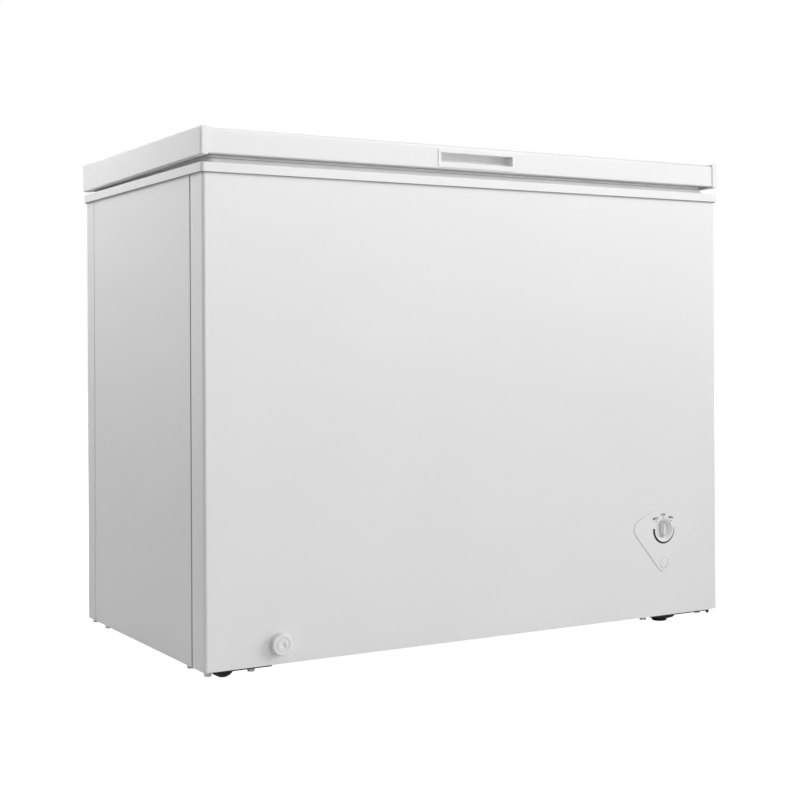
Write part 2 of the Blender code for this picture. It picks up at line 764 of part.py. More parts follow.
def indicator_lens(parent):
    profile = [(0, -0.0019), (0.0080, -0.0016), (0.0095, -0.0008), (0.0095, 0.0090), (0, 0.0090)]
    lens = turned(profile, (DIAL.x, 0, LAMP_Z), "y", 24)
    return place(add_object("indicator_lens", lens, "lamp", True), parent)


def indicator_lamp(parent):
    profile = [(0, 0.0095), (0.0060, 0.0095), (0.0085, 0.0130), (0.0085, 0.0260), (0, 0.0260)]
    lamp = turned(profile, (DIAL.x, 0, LAMP_Z), "y", 16)
    return place(add_object("indicator_lamp", lamp, "black_plastic", True), parent)


# ---------------------------------------------------------------- drain


def drain_path(extra_front, extra_top):
    """From the front skin back to below the tub's drain hole, then up to it."""
    corner = (DRAIN.x, DRAIN_Y, DRAIN.z)
    points = [(DRAIN.x, -0.006 - extra_front, DRAIN.z), corner, (DRAIN.x, DRAIN_Y, TUB_FLOOR + extra_top)]
    return rounded_path(points, DRAIN_BEND, 4)


def drain_tube(parent):
    bm = hollow_rod(drain_path(0.0, 0.0), DRAIN_R, DRAIN_BORE)
    return place(add_object("drain_tube", bm, "white_plastic", True), parent)


def drain_outer_cap(parent):
    front = -CAP_LENGTH
    r = CAP_OUTER_R
    profile = [(0, front + 0.0008), (0.0040, front + 0.0008), (0.0044, front), (0.0100, front),
               (0.0107, front + 0.0008), (0.0114, front), (r - 0.0010, front),
               (r, front + 0.0010), (r, -0.0004), (DRAIN_R + 0.0006, -0.0004), (DRAIN_R + 0.0006, -0.0082),
               (0, -0.0082)]
    cap = turned(profile, DRAIN, "y", 24)
    return place(add_object("drain_outer_cap", cap, "white_plastic", True), parent, DRAIN)


def drain_inner_plug(parent):
    centre = (DRAIN.x, DRAIN_Y, 0.0)
    z = TUB_FLOOR
    profile = [(0, z - 0.0130), (0.0050, z - 0.0130), (0.0054, z + FIT), (0.0130, z + FIT),
               (0.0130, z + 0.0040), (0.0060, z + 0.0060), (0.0040, z + 0.0120), (0, z + 0.0125)]
    plug = add_object("drain_inner_plug", turned(profile, centre, "z", 20), "white_plastic", True)
    return place(plug, parent, (DRAIN.x, DRAIN_Y, z))


# ---------------------------------------------------------------- rollers and feet


def roller_bracket(name, y, parent):
    """A channel round the wheel, with a flange under the cabinet's floor."""
    z0, z1 = PLATE_Z
    outline = rounded_rectangle((ROLLER_X - 0.044, y - PLATE_HALF_Y),
                                (ROLLER_X + 0.044, y + PLATE_HALF_Y), PLATE_R)
    bracket = add_object(name, extrude(outline, "z", z0, z1), "zinc_steel")
    merge(bracket, block((ROLLER_X - 0.030, y - 0.014, -0.0065), (ROLLER_X + 0.030, y + 0.014, 0.0280)))
    cut(bracket, block((ROLLER_X - 0.040, y - 0.012, -0.0200), (ROLLER_X + 0.040, y + 0.012, 0.0255)))
    cut(bracket, cylinder((ROLLER_X, y, WHEEL_Z), "y", AXLE_R + BORE_FIT, -0.03, 0.03, 16))
    return place(bracket, parent)


def roller_axle(name, y, parent):
    axle = cylinder((ROLLER_X, y, WHEEL_Z), "y", AXLE_R, -0.0175, 0.0175, 16)
    return place(add_object(name, axle, "zinc_steel", True), parent)


def roller_wheel(name, y, parent):
    half = WHEEL_W / 2
    bore = AXLE_R + BORE_FIT
    profile = [(bore, -half), (0.0075, -half), (0.0085, -half + 0.003), (0.0155, -half + 0.003),
               (0.0165, -half), (WHEEL_R - 0.0015, -half), (WHEEL_R, -half + 0.0015),
               (WHEEL_R, half - 0.0015), (WHEEL_R - 0.0015, half), (0.0165, half),
               (0.0155, half - 0.003), (0.0085, half - 0.003), (0.0075, half), (bore, half)]
    centre = (ROLLER_X, y, WHEEL_Z)
    return place(add_object(name, turned(profile, centre, "y", 24), "wheel", True), parent, centre)


def foot_bracket(name, y, parent):
    """A plate under the tray, with the threaded bush that the foot's stud turns in."""
    z0, z1 = PLATE_Z
    outline = rounded_rectangle((FOOT_X - 0.068, y - PLATE_HALF_Y),
                                (FOOT_X + 0.086, y + PLATE_HALF_Y), PLATE_R)
    bracket = add_object(name, extrude(outline, "z", z0, z1), "zinc_steel")
    merge(bracket, cylinder((FOOT_X, y, 0), "z", 0.0090, -0.0035, z0 + 0.0005, 16))
    cut(bracket, cylinder((FOOT_X, y, 0), "z", 0.0044, -0.02, 0.02, 16))
    return place(bracket, parent)


def levelling_foot(name, y, parent):
    floor = -FLOOR_GAP
    profile = [(0, floor), (0.0125, floor), (0.0140, floor + 0.0015), (0.0240, floor + 0.0095),
               (0.0250, floor + 0.0105), (0.0250, floor + 0.0120), (0.0040, floor + 0.0120),
               (0.0040, 0.0180), (0, 0.0180)]
    foot = turned(profile, (FOOT_X, y, 0.0), "z", 24)
    return place(add_object(name, foot, "black_plastic", True), parent, (FOOT_X, y, floor))


# ---------------------------------------------------------------- lid


def lid_outer_panel(parent):
    """Painted sheet over the top, turned down at the front and the rear and hemmed under."""
    front = -LID_STEEL_OUT
    rear = CABINET_D + LID_STEEL_OUT
    hem = 0.0100
    outline = []
    for inset, backwards in ((0.0, False), (SHEET, True)):
        r = 0.006 - inset
        hem_r = 0.002 - inset
        y0 = front + inset
        y1 = rear - inset
        z0 = LID_BOTTOM + inset
        z1 = LID_TOP - inset
        run = [(front + hem, z0)]
        run += reversed(arc((y0 + hem_r, z0 + hem_r), hem_r, 180, 270, 2))
        run += reversed(arc((y0 + r, z1 - r), r, 90, 180, 3))
        run += reversed(arc((y1 - r, z1 - r), r, 0, 90, 3))
        run += reversed(arc((y1 - hem_r, z0 + hem_r), hem_r, 270, 360, 2))
        run += [(rear - hem, z0)]
        outline += reversed(run) if backwards else run
    panel = add_object("lid_outer_panel", extrude(outline, "x", -0.0015, CABINET_W + 0.0015), "white_steel")
    cut(panel, block((HANDLE_X[0] + 0.0026, -0.02, RECESS_Z[0] - CUP_WALL - FIT),
                     (HANDLE_X[1] - 0.0006, 0.01, RECESS_Z[1] + CUP_WALL + FIT)))
    return place(panel, parent)


def lid_end_cap(name, right, parent):
    """A moulded cap over one end of the lid; its lower edge falls towards the rear."""
    front = -CAP_OUT_Y
    rear = CABINET_D + CAP_OUT_Y - 0.0002
    inner = CAP_W - CAP_OUT_X
    below = CAP_LOW[1] - 2 * CAP_R
    body = block((-CAP_OUT_X, front, below), (inner + 2 * CAP_R, rear, CAP_TOP))
    cap = add_object(name, bevel_all(body, CAP_R, 3), "white_plastic", True)
    cut(cap, block((inner, front - 0.01, below - 0.01), (inner + 0.05, rear + 0.01, CAP_TOP + 0.01)))
    under = [(front, CAP_LOW[0]), (rear, CAP_LOW[1]), (rear + 0.01, CAP_LOW[1]), (rear + 0.01, below - 0.01),
             (front - 0.01, below - 0.01), (front - 0.01, CAP_LOW[0])]
    cut(cap, extrude(under, "x", -0.02, 0.05))
    steel_front = -LID_STEEL_OUT - 0.0003
    steel_rear = CABINET_D + LID_STEEL_OUT + 0.0003
    cut(cap, block((-0.0020, steel_front, LID_BOTTOM - 0.0003), (0.05, steel_rear, LID_TOP + 0.0003)))
    if right:
        cap.data.transform(Matrix.Translation((CABINET_W, 0, 0)) @ Matrix.Scale(-1, 4, (1, 0, 0)))
        cap.data.flip_normals()
    return place(cap, parent)


def lid_inner_liner(parent):
    """The lid's formed inner skin: a rim, the gasket's channel, and a shallow plug into the frame."""
    profile = [
        (0.0620, 0.7860, 0.016), (0.0560, 0.7872, 0.016), (0.0505, 0.7965, 0.014), (0.0490, 0.7970, 0.014),
        (0.0150, 0.7970, 0.006), (0.0135, 0.7960, 0.006), (0.0125, 0.7918, 0.006), (-0.0012, 0.7918, 0.004),
        (-0.0012, 0.7936, 0.004), (0.0110, 0.7936, 0.006), (0.0118, 0.7975, 0.006), (0.0135, 0.7990, 0.006),
        (0.0505, 0.7990, 0.014), (0.0520, 0.7985, 0.014), (0.0575, 0.7892, 0.016), (0.0630, 0.7880, 0.016),
    ]
    bm = bmesh.new()
    skin_rings(bm, [cabinet_ring(*point, steps=3) for point in profile])
    return place(add_object("lid_inner_liner", bm, "liner"), parent)


def lid_gasket(parent):
    """The magnetic seal between the lid's liner and the top frame's rim."""
    low = RIM_TOP + FIT
    high = 0.7966
    profile = [(0.0200, high), (0.0180, high - 0.0026), (0.0180, low + 0.0026), (0.0195, low), (0.0425, low),
               (0.0440, low + 0.0026), (0.0440, high - 0.0026), (0.0420, high)]
    bm = bmesh.new()
    skin_rings(bm, [cabinet_ring(inset, z, 0.010, 3) for inset, z in profile], closed=True)
    return place(add_object("lid_gasket", bm, "gasket"), parent)


def lid_foam(parent):
    profile = [
        (0.0645, 0.7884, 0.016), (0.0585, 0.7896, 0.016), (0.0530, 0.7990, 0.014), (0.0510, 0.7995, 0.014),
        (0.0128, 0.7995, 0.006), (0.0112, 0.7980, 0.006), (0.0104, 0.7941, 0.006), (-0.0012, 0.7941, 0.004),
        (-0.0012, LID_TOP - SHEET - 0.0070, 0.004), (0.0040, LID_TOP - SHEET - 0.0007, 0.004),
    ]
    bm = bmesh.new()
    skin_rings(bm, [cabinet_ring(*point, steps=3) for point in profile])
    foam = add_object("lid_foam", bm, "foam")
    cut(foam, block((HANDLE_X[0] + 0.0024, -0.02, RECESS_Z[0] - CUP_WALL - FIT),
                    (HANDLE_X[1] - 0.0004, RECESS_DEPTH + CUP_WALL + FIT, RECESS_Z[1] + CUP_WALL + FIT)))
    return place(foam, parent)


def lid_handle_cup(parent):
    """A recessed grip: a thin face plate and a cup that runs back into the foam."""
    face = -LID_STEEL_OUT - 0.0012
    back = -LID_STEEL_OUT - 0.0003
    low = (HANDLE_X[0], HANDLE_Z[0])
    high = (HANDLE_X[1], HANDLE_Z[1])
    cup = add_object("lid_handle_cup", extrude(rounded_rectangle(low, high, 0.003), "y", face, back),
                     "white_plastic")
    merge(cup, block((HANDLE_X[0] + 0.0030, back - 0.0004, RECESS_Z[0] - CUP_WALL),
                     (HANDLE_X[1] - 0.0010, RECESS_DEPTH + CUP_WALL, RECESS_Z[1] + CUP_WALL)))
    recess = [(face - 0.001, RECESS_Z[0]), (face - 0.001, RECESS_Z[1]), (RECESS_DEPTH, RECESS_Z[1]),
              (RECESS_DEPTH, RECESS_Z[0] + 0.0075), (0.0030, RECESS_Z[0])]
    cut(cup, extrude(recess, "x", *RECESS_X))
    return place(cup, parent)


# ---------------------------------------------------------------- hinges


def hinge_bracket(name, x, parent):
    """A channel on the cabinet's rear that carries the pin, with a shelf for the spring."""
    half = BRACKET_HALF
    sheet = BRACKET_SHEET
    low = BRACKET_LOW
    flat = CABINET_D + 0.0005
    cheek = [(flat, low), (HINGE_REAR - 0.006, low), (HINGE_REAR, low + 0.006)]
    cheek += arc((PIVOT_Y, PIVOT_Z), HINGE_REAR - PIVOT_Y, 0, 180, 8)
    cheek += [(2 * PIVOT_Y - HINGE_REAR, FRAME_SKIRT_Z - 0.002), (flat, FRAME_SKIRT_Z - 0.002)]
    bracket = add_object(name, extrude(cheek, "x", x - half, x + half), "zinc_steel")
    cut(bracket, block((x - half + sheet, flat + sheet, low + sheet),
                       (x + half - sheet, 0.6, PIVOT_Z + 0.02)))
    cut(bracket, cylinder((x, PIVOT_Y, PIVOT_Z), "x", PIN_R + BORE_FIT, -0.03, 0.03, 16))
    return place(bracket, parent)


def hinge_pin(name, x, parent):
    pin = cylinder((x, PIVOT_Y, PIVOT_Z), "x", PIN_R, -0.0180, 0.0180, 16)
    return place(add_object(name, pin, "zinc_steel", True), parent)


def hinge_arm(name, x, parent):
    """The lid's half: a plate on the rear of the lid and two cams that turn on the pin."""
    half = ARM_HALF
    sheet = ARM_SHEET
    y0 = CABINET_D + LID_STEEL_OUT + FIT
    cam = []
    steps = 8
    for i in range(steps + 1):
        share = i / steps
        angle = -90 + LID_SWING * share
        radius = CAM_R - CAM_DROP * share
        cam += arc((PIVOT_Y, PIVOT_Z), radius, angle, angle, 1)[:1]
    outline = arc((PIVOT_Y, PIVOT_Z), CAM_R, -150, -100, 3) + cam
    outline += [(PIVOT_Y + 0.0045, PIVOT_Z + 0.0070), (y0 + 0.0060, 0.8220), (y0 + 0.0060, 0.8240),
                (y0, 0.8260), (y0, LID_BOTTOM + 0.0030)]
    arm = add_object(name, extrude(outline, "x", x - half, x + half), "zinc_steel")
    cut(arm, block((x - half + sheet, y0 + sheet, 0.70), (x + half - sheet, 0.6, 0.85)))
    cut(arm, block((x - half + sheet, 0.5, 0.70), (x + half - sheet, 0.6, LID_BOTTOM + 0.0030)))
    cut(arm, cylinder((x, PIVOT_Y, PIVOT_Z), "x", PIN_R + BORE_FIT, -0.03, 0.03, 16))
    return place(arm, parent, (x, PIVOT_Y, PIVOT_Z))


def hinge_plunger(name, x, parent):
    """The slider under the cams that the spring pushes up."""
    low = (x - ARM_HALF, PLUNGER_Y - 0.0065, PLUNGER_TOP - 0.0100)
    high = (x + ARM_HALF, PLUNGER_Y + 0.0065, PLUNGER_TOP)
    plunger = add_object(name, block(low, high), "black_plastic")
    merge(plunger, cylinder((x, PLUNGER_Y, 0), "z", 0.0040, SPRING_Z[1] - 0.0150, PLUNGER_TOP - 0.005, 12))
    merge(plunger, cylinder((x, PLUNGER_Y, 0), "z", 0.0080, SPRING_Z[1] + 0.0005, PLUNGER_TOP - 0.005, 12))
    return place(plunger, parent, (x, PLUNGER_Y, PLUNGER_TOP))


def hinge_spring(name, x, parent):
    per_turn = 9
    steps = SPRING_TURNS * per_turn
    low = SPRING_Z[0] + SPRING_WIRE
    high = SPRING_Z[1] - SPRING_WIRE
    path = []
    for i in range(steps + 1):
        angle = 2 * math.pi * i / per_turn
        z = low + (high - low) * i / steps
        path.append(Vector((x + SPRING_R * math.cos(angle), PLUNGER_Y + SPRING_R * math.sin(angle), z)))
    return place(add_object(name, rod(path, SPRING_WIRE, 6), "zinc_steel", True), parent)


# ---------------------------------------------------------------- basket


def basket(parent):
    """The hanging basket's envelope, with a hook along each end that rides on the frame's ledge."""
    x0, x1 = BASKET_X
    z0, z1 = BASKET_Z
    front = WALL + BASKET_GAP
    rear = CABINET_D - WALL - BASKET_GAP
    wall = BASKET_WALL
    hook = [(x0, HOOK_INSET), (x1, HOOK_INSET), (x1, CABINET_D - HOOK_INSET), (x0, CABINET_D - HOOK_INSET)]
    body = add_object("basket", extrude(hook, "z", z1, z1 + wall), "white_steel")
    merge(body, block((x0, front, z0), (x1, rear, z1 + 0.001)))
    cut(body, block((x0 + wall, front + wall, z0 + wall), (x1 - wall, rear - wall, z1 + 0.05)))
    return place(body, parent, (x0, CABINET_D / 2, z1))


# ---------------------------------------------------------------- assembly


def build():
    clear_scene()
    corner = add_empty("cabinet_corner", ORIGIN)
    front_panel(corner)
    rear_panel(corner)
    side_panel("left_side_panel", 0.0, corner)
    right_side_panel(corner)
    side_grille(corner)
    rear_access_cover(corner)
    base_panel(corner)
    compressor_tray(corner)
    inner_liner(corner)
    foam_insulation(corner)
    top_frame(corner)
    for make in (evaporator_coil, condenser_coil, compressor, relay_cover, discharge_pipe, suction_pipe,
                 liquid_line, filter_drier, capillary_tube, power_inlet_gland):
        make(corner)
    for make in (control_bezel, thermostat_knob, thermostat_body, thermostat_sensor, indicator_lens,
                 indicator_lamp):
        make(corner)
    for make in (drain_tube, drain_outer_cap, drain_inner_plug):
        make(corner)
    for end, y in zip(("front", "rear"), STAND_Y):
        roller_bracket(f"roller_bracket_{end}", y, corner)
        roller_axle(f"roller_axle_{end}", y, corner)
        roller_wheel(f"roller_wheel_{end}", y, corner)
        foot_bracket(f"foot_bracket_{end}", y, corner)
        levelling_foot(f"levelling_foot_{end}", y, corner)
    pivot = add_empty("lid_pivot", ORIGIN + Vector((CABINET_W / 2, PIVOT_Y, PIVOT_Z)))
    lid_outer_panel(pivot)
    lid_end_cap("lid_end_cap_left", False, pivot)
    lid_end_cap("lid_end_cap_right", True, pivot)
    lid_inner_liner(pivot)
    lid_gasket(pivot)
    lid_foam(pivot)
    lid_handle_cup(pivot)
    for side, x in zip(("left", "right"), HINGE_X):
        hinge_bracket(f"hinge_bracket_{side}", x, corner)
        hinge_pin(f"hinge_pin_{side}", x, corner)
        hinge_arm(f"hinge_arm_{side}", x, pivot)
        hinge_plunger(f"hinge_plunger_{side}", x, corner)
        hinge_spring(f"hinge_spring_{side}", x, corner)
    basket(corner)


build()
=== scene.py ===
"""Looks of the chest freezer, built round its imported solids.

Shapes are drawn in cabinet coordinates, as the solids are: x to the right from the cabinet's left
face, y back from its front face, z up from its lower edge, in metres.
"""
import math

import bmesh
import bpy
from mathutils import Matrix, Quaternion, Vector


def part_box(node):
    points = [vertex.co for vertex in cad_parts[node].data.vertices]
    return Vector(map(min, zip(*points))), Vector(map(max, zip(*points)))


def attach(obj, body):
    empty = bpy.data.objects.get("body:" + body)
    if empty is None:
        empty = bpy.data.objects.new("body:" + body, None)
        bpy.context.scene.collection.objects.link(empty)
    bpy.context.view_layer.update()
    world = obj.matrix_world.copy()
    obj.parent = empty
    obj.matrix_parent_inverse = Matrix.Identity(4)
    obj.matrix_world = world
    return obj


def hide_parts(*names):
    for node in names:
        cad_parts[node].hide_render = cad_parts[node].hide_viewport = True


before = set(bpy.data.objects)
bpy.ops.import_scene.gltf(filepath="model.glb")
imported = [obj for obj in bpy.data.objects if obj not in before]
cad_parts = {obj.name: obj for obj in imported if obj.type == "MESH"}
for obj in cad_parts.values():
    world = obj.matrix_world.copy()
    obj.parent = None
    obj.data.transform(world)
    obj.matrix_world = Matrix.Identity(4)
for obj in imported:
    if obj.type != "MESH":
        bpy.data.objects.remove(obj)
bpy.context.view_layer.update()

CABINET = "cabinet"
LID = "lid"

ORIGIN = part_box("front_panel")[0]
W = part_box("front_panel")[1].x - ORIGIN.x
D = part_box("rear_panel")[1].y - ORIGIN.y
FLOOR_GAP = ORIGIN.z

CORNER_R = 0.0058
FRONT_RETURN = 0.048
FRONT_SEAM = 0.0038
REAR_RETURN = 0.042
REAR_SEAM = 0.002
SHEET = 0.0008
SHELL_TOP = 0.7695
BAND_BOTTOM = 0.7625
BAND_TOP = 0.777
RIM_TOP = 0.786
LEDGE_Z = 0.776
FRAME_OUT = 0.0038
FRAME_R = 0.0065

WALL = 0.06
TUB_FLOOR = 0.06
STEP_X = 0.724
STEP_Z = 0.33
TUB_R = 0.02

LID_BOTTOM = 0.7907
LID_TOP = 0.8305
LID_OUT = 0.0034
CAP_OUT_X = 0.005
CAP_OUT_Y = 0.0052
CAP_W = 0.013
CAP_LOW = (0.7885, 0.783)
CAP_LIP = 0.0008
CAP_TOP = 0.8325
CAP_R = 0.004

HANDLE_X = (0.421, 0.574)
HANDLE_Z = (0.7935, 0.824)
RECESS_X = (0.426, 0.571)
RECESS_Z = (0.8015, 0.818)
RECESS_DEPTH = 0.0185

HINGE_X = (0.15, 0.884)
PIVOT = Vector((0.0, 0.562, 0.78))
HINGE_REAR = 0.571
PIN_BORE = 0.0033
CAM_R = 0.009
CAM_DROP = 0.004
PLUNGER_Y = D + 0.0125
PLUNGER_TOP = PIVOT.z - CAM_R - 0.0012

DIAL = Vector((0.9038, 0.0, 0.156))
LAMP = Vector((0.9038, 0.0, 0.0956))
DRAIN = Vector((0.1263, 0.0, 0.0316))
DRAIN_Y = 0.11
DRAIN_R = 0.0084
GLAND = Vector((0.788, D, 0.055))
GLAND_R = 0.0064
ROLLER_X = 0.05
FOOT_X = 0.937
STAND_Y = (0.052, 0.506)
AXLE_BORE = 0.0028
STUD_BORE = 0.0044
TRAY_HOLE_R = 0.0065
PLATE_Z = (-0.0015, 0.0002)
PLATE_HALF_Y = 0.041
BOLT_LENGTH = 0.0078
WHEEL_R = 0.0205
BAY_X = 0.7715
COVER_X = (0.803, 1.012)
COVER_Z = (0.032, 0.248)
COVER_LAP = 0.008
LOUVRE_Z = [0.07 + 0.026 * i for i in range(6)]
GRILLE_Y = (0.11, 0.44)
GRILLE_Z = (0.05, 0.23)
BASKET_X = (0.735, 0.955)
BASKET_Y = (0.066, 0.4825)
BASKET_Z = (0.575, 0.7764)
HOOK_Y = (0.0515, 0.497)


# ---------------------------------------------------------------- camera, light, floor


def look(place, yaw, pitch, roll):
    """A camera matrix from its place and its angles in degrees."""
    yaw, pitch, roll = (math.radians(a) for a in (yaw, pitch, roll))
    level = Vector((math.cos(yaw), math.sin(yaw), 0))
    ahead = Vector((-math.sin(yaw) * math.cos(pitch), math.cos(yaw) * math.cos(pitch), math.sin(pitch)))
    above = level.cross(ahead)
    right = level * math.cos(roll) + above * math.sin(roll)
    up = above * math.cos(roll) - level * math.sin(roll)
    matrix = Matrix((right, up, -ahead)).transposed().to_4x4()
    matrix.translation = place
    return matrix


def link(obj):
    bpy.context.scene.collection.objects.link(obj)
    return obj


LENS = 65.49
FRAME_SHIFT = -0.0799
CAMERA_PLACE = Vector((-1.3794, -2.3361, 0.5122))
CAMERA_ANGLES = (-30.46, 0.46, -0.34)
FILL = 0.15
FLOOR_HALF = 14.0
FLOOR_GREY = 0.66
FLOOR_GLOW = 1.05


def make_camera():
    data = bpy.data.cameras.new("camera")
    data.sensor_width = 36
    data.lens = LENS
    data.shift_y = FRAME_SHIFT
    camera = link(bpy.data.objects.new("camera", data))
    camera.matrix_world = look(CAMERA_PLACE, *CAMERA_ANGLES)
    bpy.context.scene.camera = camera


def area_light(name, place, target, size, power):
    data = bpy.data.lights.new(name, "AREA")
    data.shape = "RECTANGLE"
    data.size, data.size_y = size
    data.energy = power
    light = link(bpy.data.objects.new(name, data))
    light.location = place
    light.rotation_mode = "QUATERNION"
    light.rotation_quaternion = (Vector(target) - Vector(place)).to_track_quat("-Z", "Y")


def make_light():
    bpy.context.scene.view_settings.view_transform = "Standard"
    world = bpy.data.worlds.new("studio")
    bpy.context.scene.world = world
    world.use_nodes = True
    nodes, links = world.node_tree.nodes, world.node_tree.links
    dim = nodes["Background"]
    dim.inputs["Strength"].default_value = FILL
    bright = nodes.new("ShaderNodeBackground")
    bright.inputs["Strength"].default_value = 1.0
    for node in (dim, bright):
        node.inputs["Color"].default_value = (1, 1, 1, 1)
    path = nodes.new("ShaderNodeLightPath")
    mix = nodes.new("ShaderNodeMixShader")
    links.new(path.outputs["Is Camera Ray"], mix.inputs[0])
    links.new(dim.outputs[0], mix.inputs[1])
    links.new(bright.outputs[0], mix.inputs[2])
    links.new(mix.outputs[0], nodes["World Output"].inputs["Surface"])
    area_light("low_top_front", (0.0, -0.9, 1.5), (0.0, -0.3, 0.6), (1.6, 0.6), 5.8)
    area_light("low_top_left", (-1.1, 0.35, 1.5), (-0.5, 0.1, 0.6), (0.6, 0.8), 8.6)
    area_light("front", (-0.1, -3.2, 1.1), (0.0, -0.2, 0.4), (2.5, 2.0), 23.0)
    area_light("front_right", (8.0, -5.0, 2.9), (0.2, -0.2, 0.4), (3.9, 4.3), 430.0)
    area_light("left_rear", (-3.0, 2.9, 0.9), (-0.4, 0.2, 0.5), (2.0, 1.6), 26.0)
    area_light("rear", (0.6, 3.0, 1.6), (0.0, 0.2, 0.4), (2.0, 2.0), 16.0)
    area_light("overhead", (0.1, 0.2, 3.2), (0.0, 0.0, 0.8), (2.0, 2.0), 4.0)


def make_floor():
    side = FLOOR_HALF
    mesh = bpy.data.meshes.new("floor")
    corners = [(-side, -side, 0), (side, -side, 0), (side, side, 0), (-side, side, 0)]
    mesh.from_pydata(corners, [], [(0, 1, 2, 3)])
    floor = link(bpy.data.objects.new("floor", mesh))
    material = bpy.data.materials.new("floor_paper")
    material.use_nodes = True
    shader = material.node_tree.nodes["Principled BSDF"]
    shader.inputs["Base Color"].default_value = (FLOOR_GREY, FLOOR_GREY, FLOOR_GREY, 1)
    shader.inputs["Roughness"].default_value = 0.7
    shader.inputs["Emission Color"].default_value = (1, 1, 1, 1)
    nodes, links = material.node_tree.nodes, material.node_tree.links
    seen = nodes.new("ShaderNodeMath")
    seen.operation = "MULTIPLY"
    seen.inputs[1].default_value = FLOOR_GLOW
    links.new(nodes.new("ShaderNodeLightPath").outputs["Is Camera Ray"], seen.inputs[0])
    links.new(seen.outputs[0], shader.inputs["Emission Strength"])
    mesh.materials.append(material)


# ---------------------------------------------------------------- finishes


class Finish:
    """A procedural material: a mottled colour, a roughness that varies, and layered fine relief."""

    def __init__(self, name, colour, roughness, metallic=0.0):
        self.material = bpy.data.materials.new(name)
        self.material.use_nodes = True
        self.nodes = self.material.node_tree.nodes
        self.links = self.material.node_tree.links
        self.shader = self.nodes["Principled BSDF"]
        self.space = self.nodes.new("ShaderNodeTexCoord").outputs["Object"]
        self.colour = colour if isinstance(colour, tuple) else (colour,) * 3
        self.roughness = roughness
        self.relief = None
        self.set(Metallic=metallic, Roughness=roughness)

    def noise(self, scale, detail=3.0):
        node = self.nodes.new("ShaderNodeTexNoise")
        node.inputs["Scale"].default_value = scale
        node.inputs["Detail"].default_value = detail
        self.links.new(self.space, node.inputs["Vector"])
        return node.outputs["Fac"]

    def cells(self, scale, output="Color"):
        node = self.nodes.new("ShaderNodeTexVoronoi")
        node.inputs["Scale"].default_value = scale
        self.links.new(self.space, node.inputs["Vector"])
        return node.outputs[output]

    def vary(self, socket, source, low, high, span):
        node = self.nodes.new("ShaderNodeValToRGB")
        for stop, position, value in zip(node.color_ramp.elements, span, (low, high)):
            stop.position = position
            stop.color = (*value, 1)
        self.links.new(source, node.inputs["Fac"])
        self.links.new(node.outputs["Color"], self.shader.inputs[socket])

    def tint(self, source, spread, span=(0.3, 0.7)):
        low = tuple(max(0.0, c * (1 - spread)) for c in self.colour)
        high = tuple(min(1.0, c * (1 + spread)) for c in self.colour)
        self.vary("Base Color", source, low, high, span)

    def polish(self, source, spread, span=(0.3, 0.7)):
        low, high = max(0.02, self.roughness - spread), min(1.0, self.roughness + spread)
        self.vary("Roughness", source, (low,) * 3, (high,) * 3, span)

    def bump(self, source, depth, strength):
        node = self.nodes.new("ShaderNodeBump")
        node.inputs["Strength"].default_value = strength
        node.inputs["Distance"].default_value = depth
        self.links.new(source, node.inputs["Height"])
        if self.relief is not None:
            self.links.new(self.relief, node.inputs["Normal"])
        self.relief = node.outputs["Normal"]
        self.links.new(self.relief, self.shader.inputs["Normal"])

    def set(self, **sockets):
        for name, value in sockets.items():
            self.shader.inputs[name.replace("_", " ")].default_value = value


def coat(weight, roughness):
    return {"Coat_Weight": weight, "Coat_Roughness": roughness}


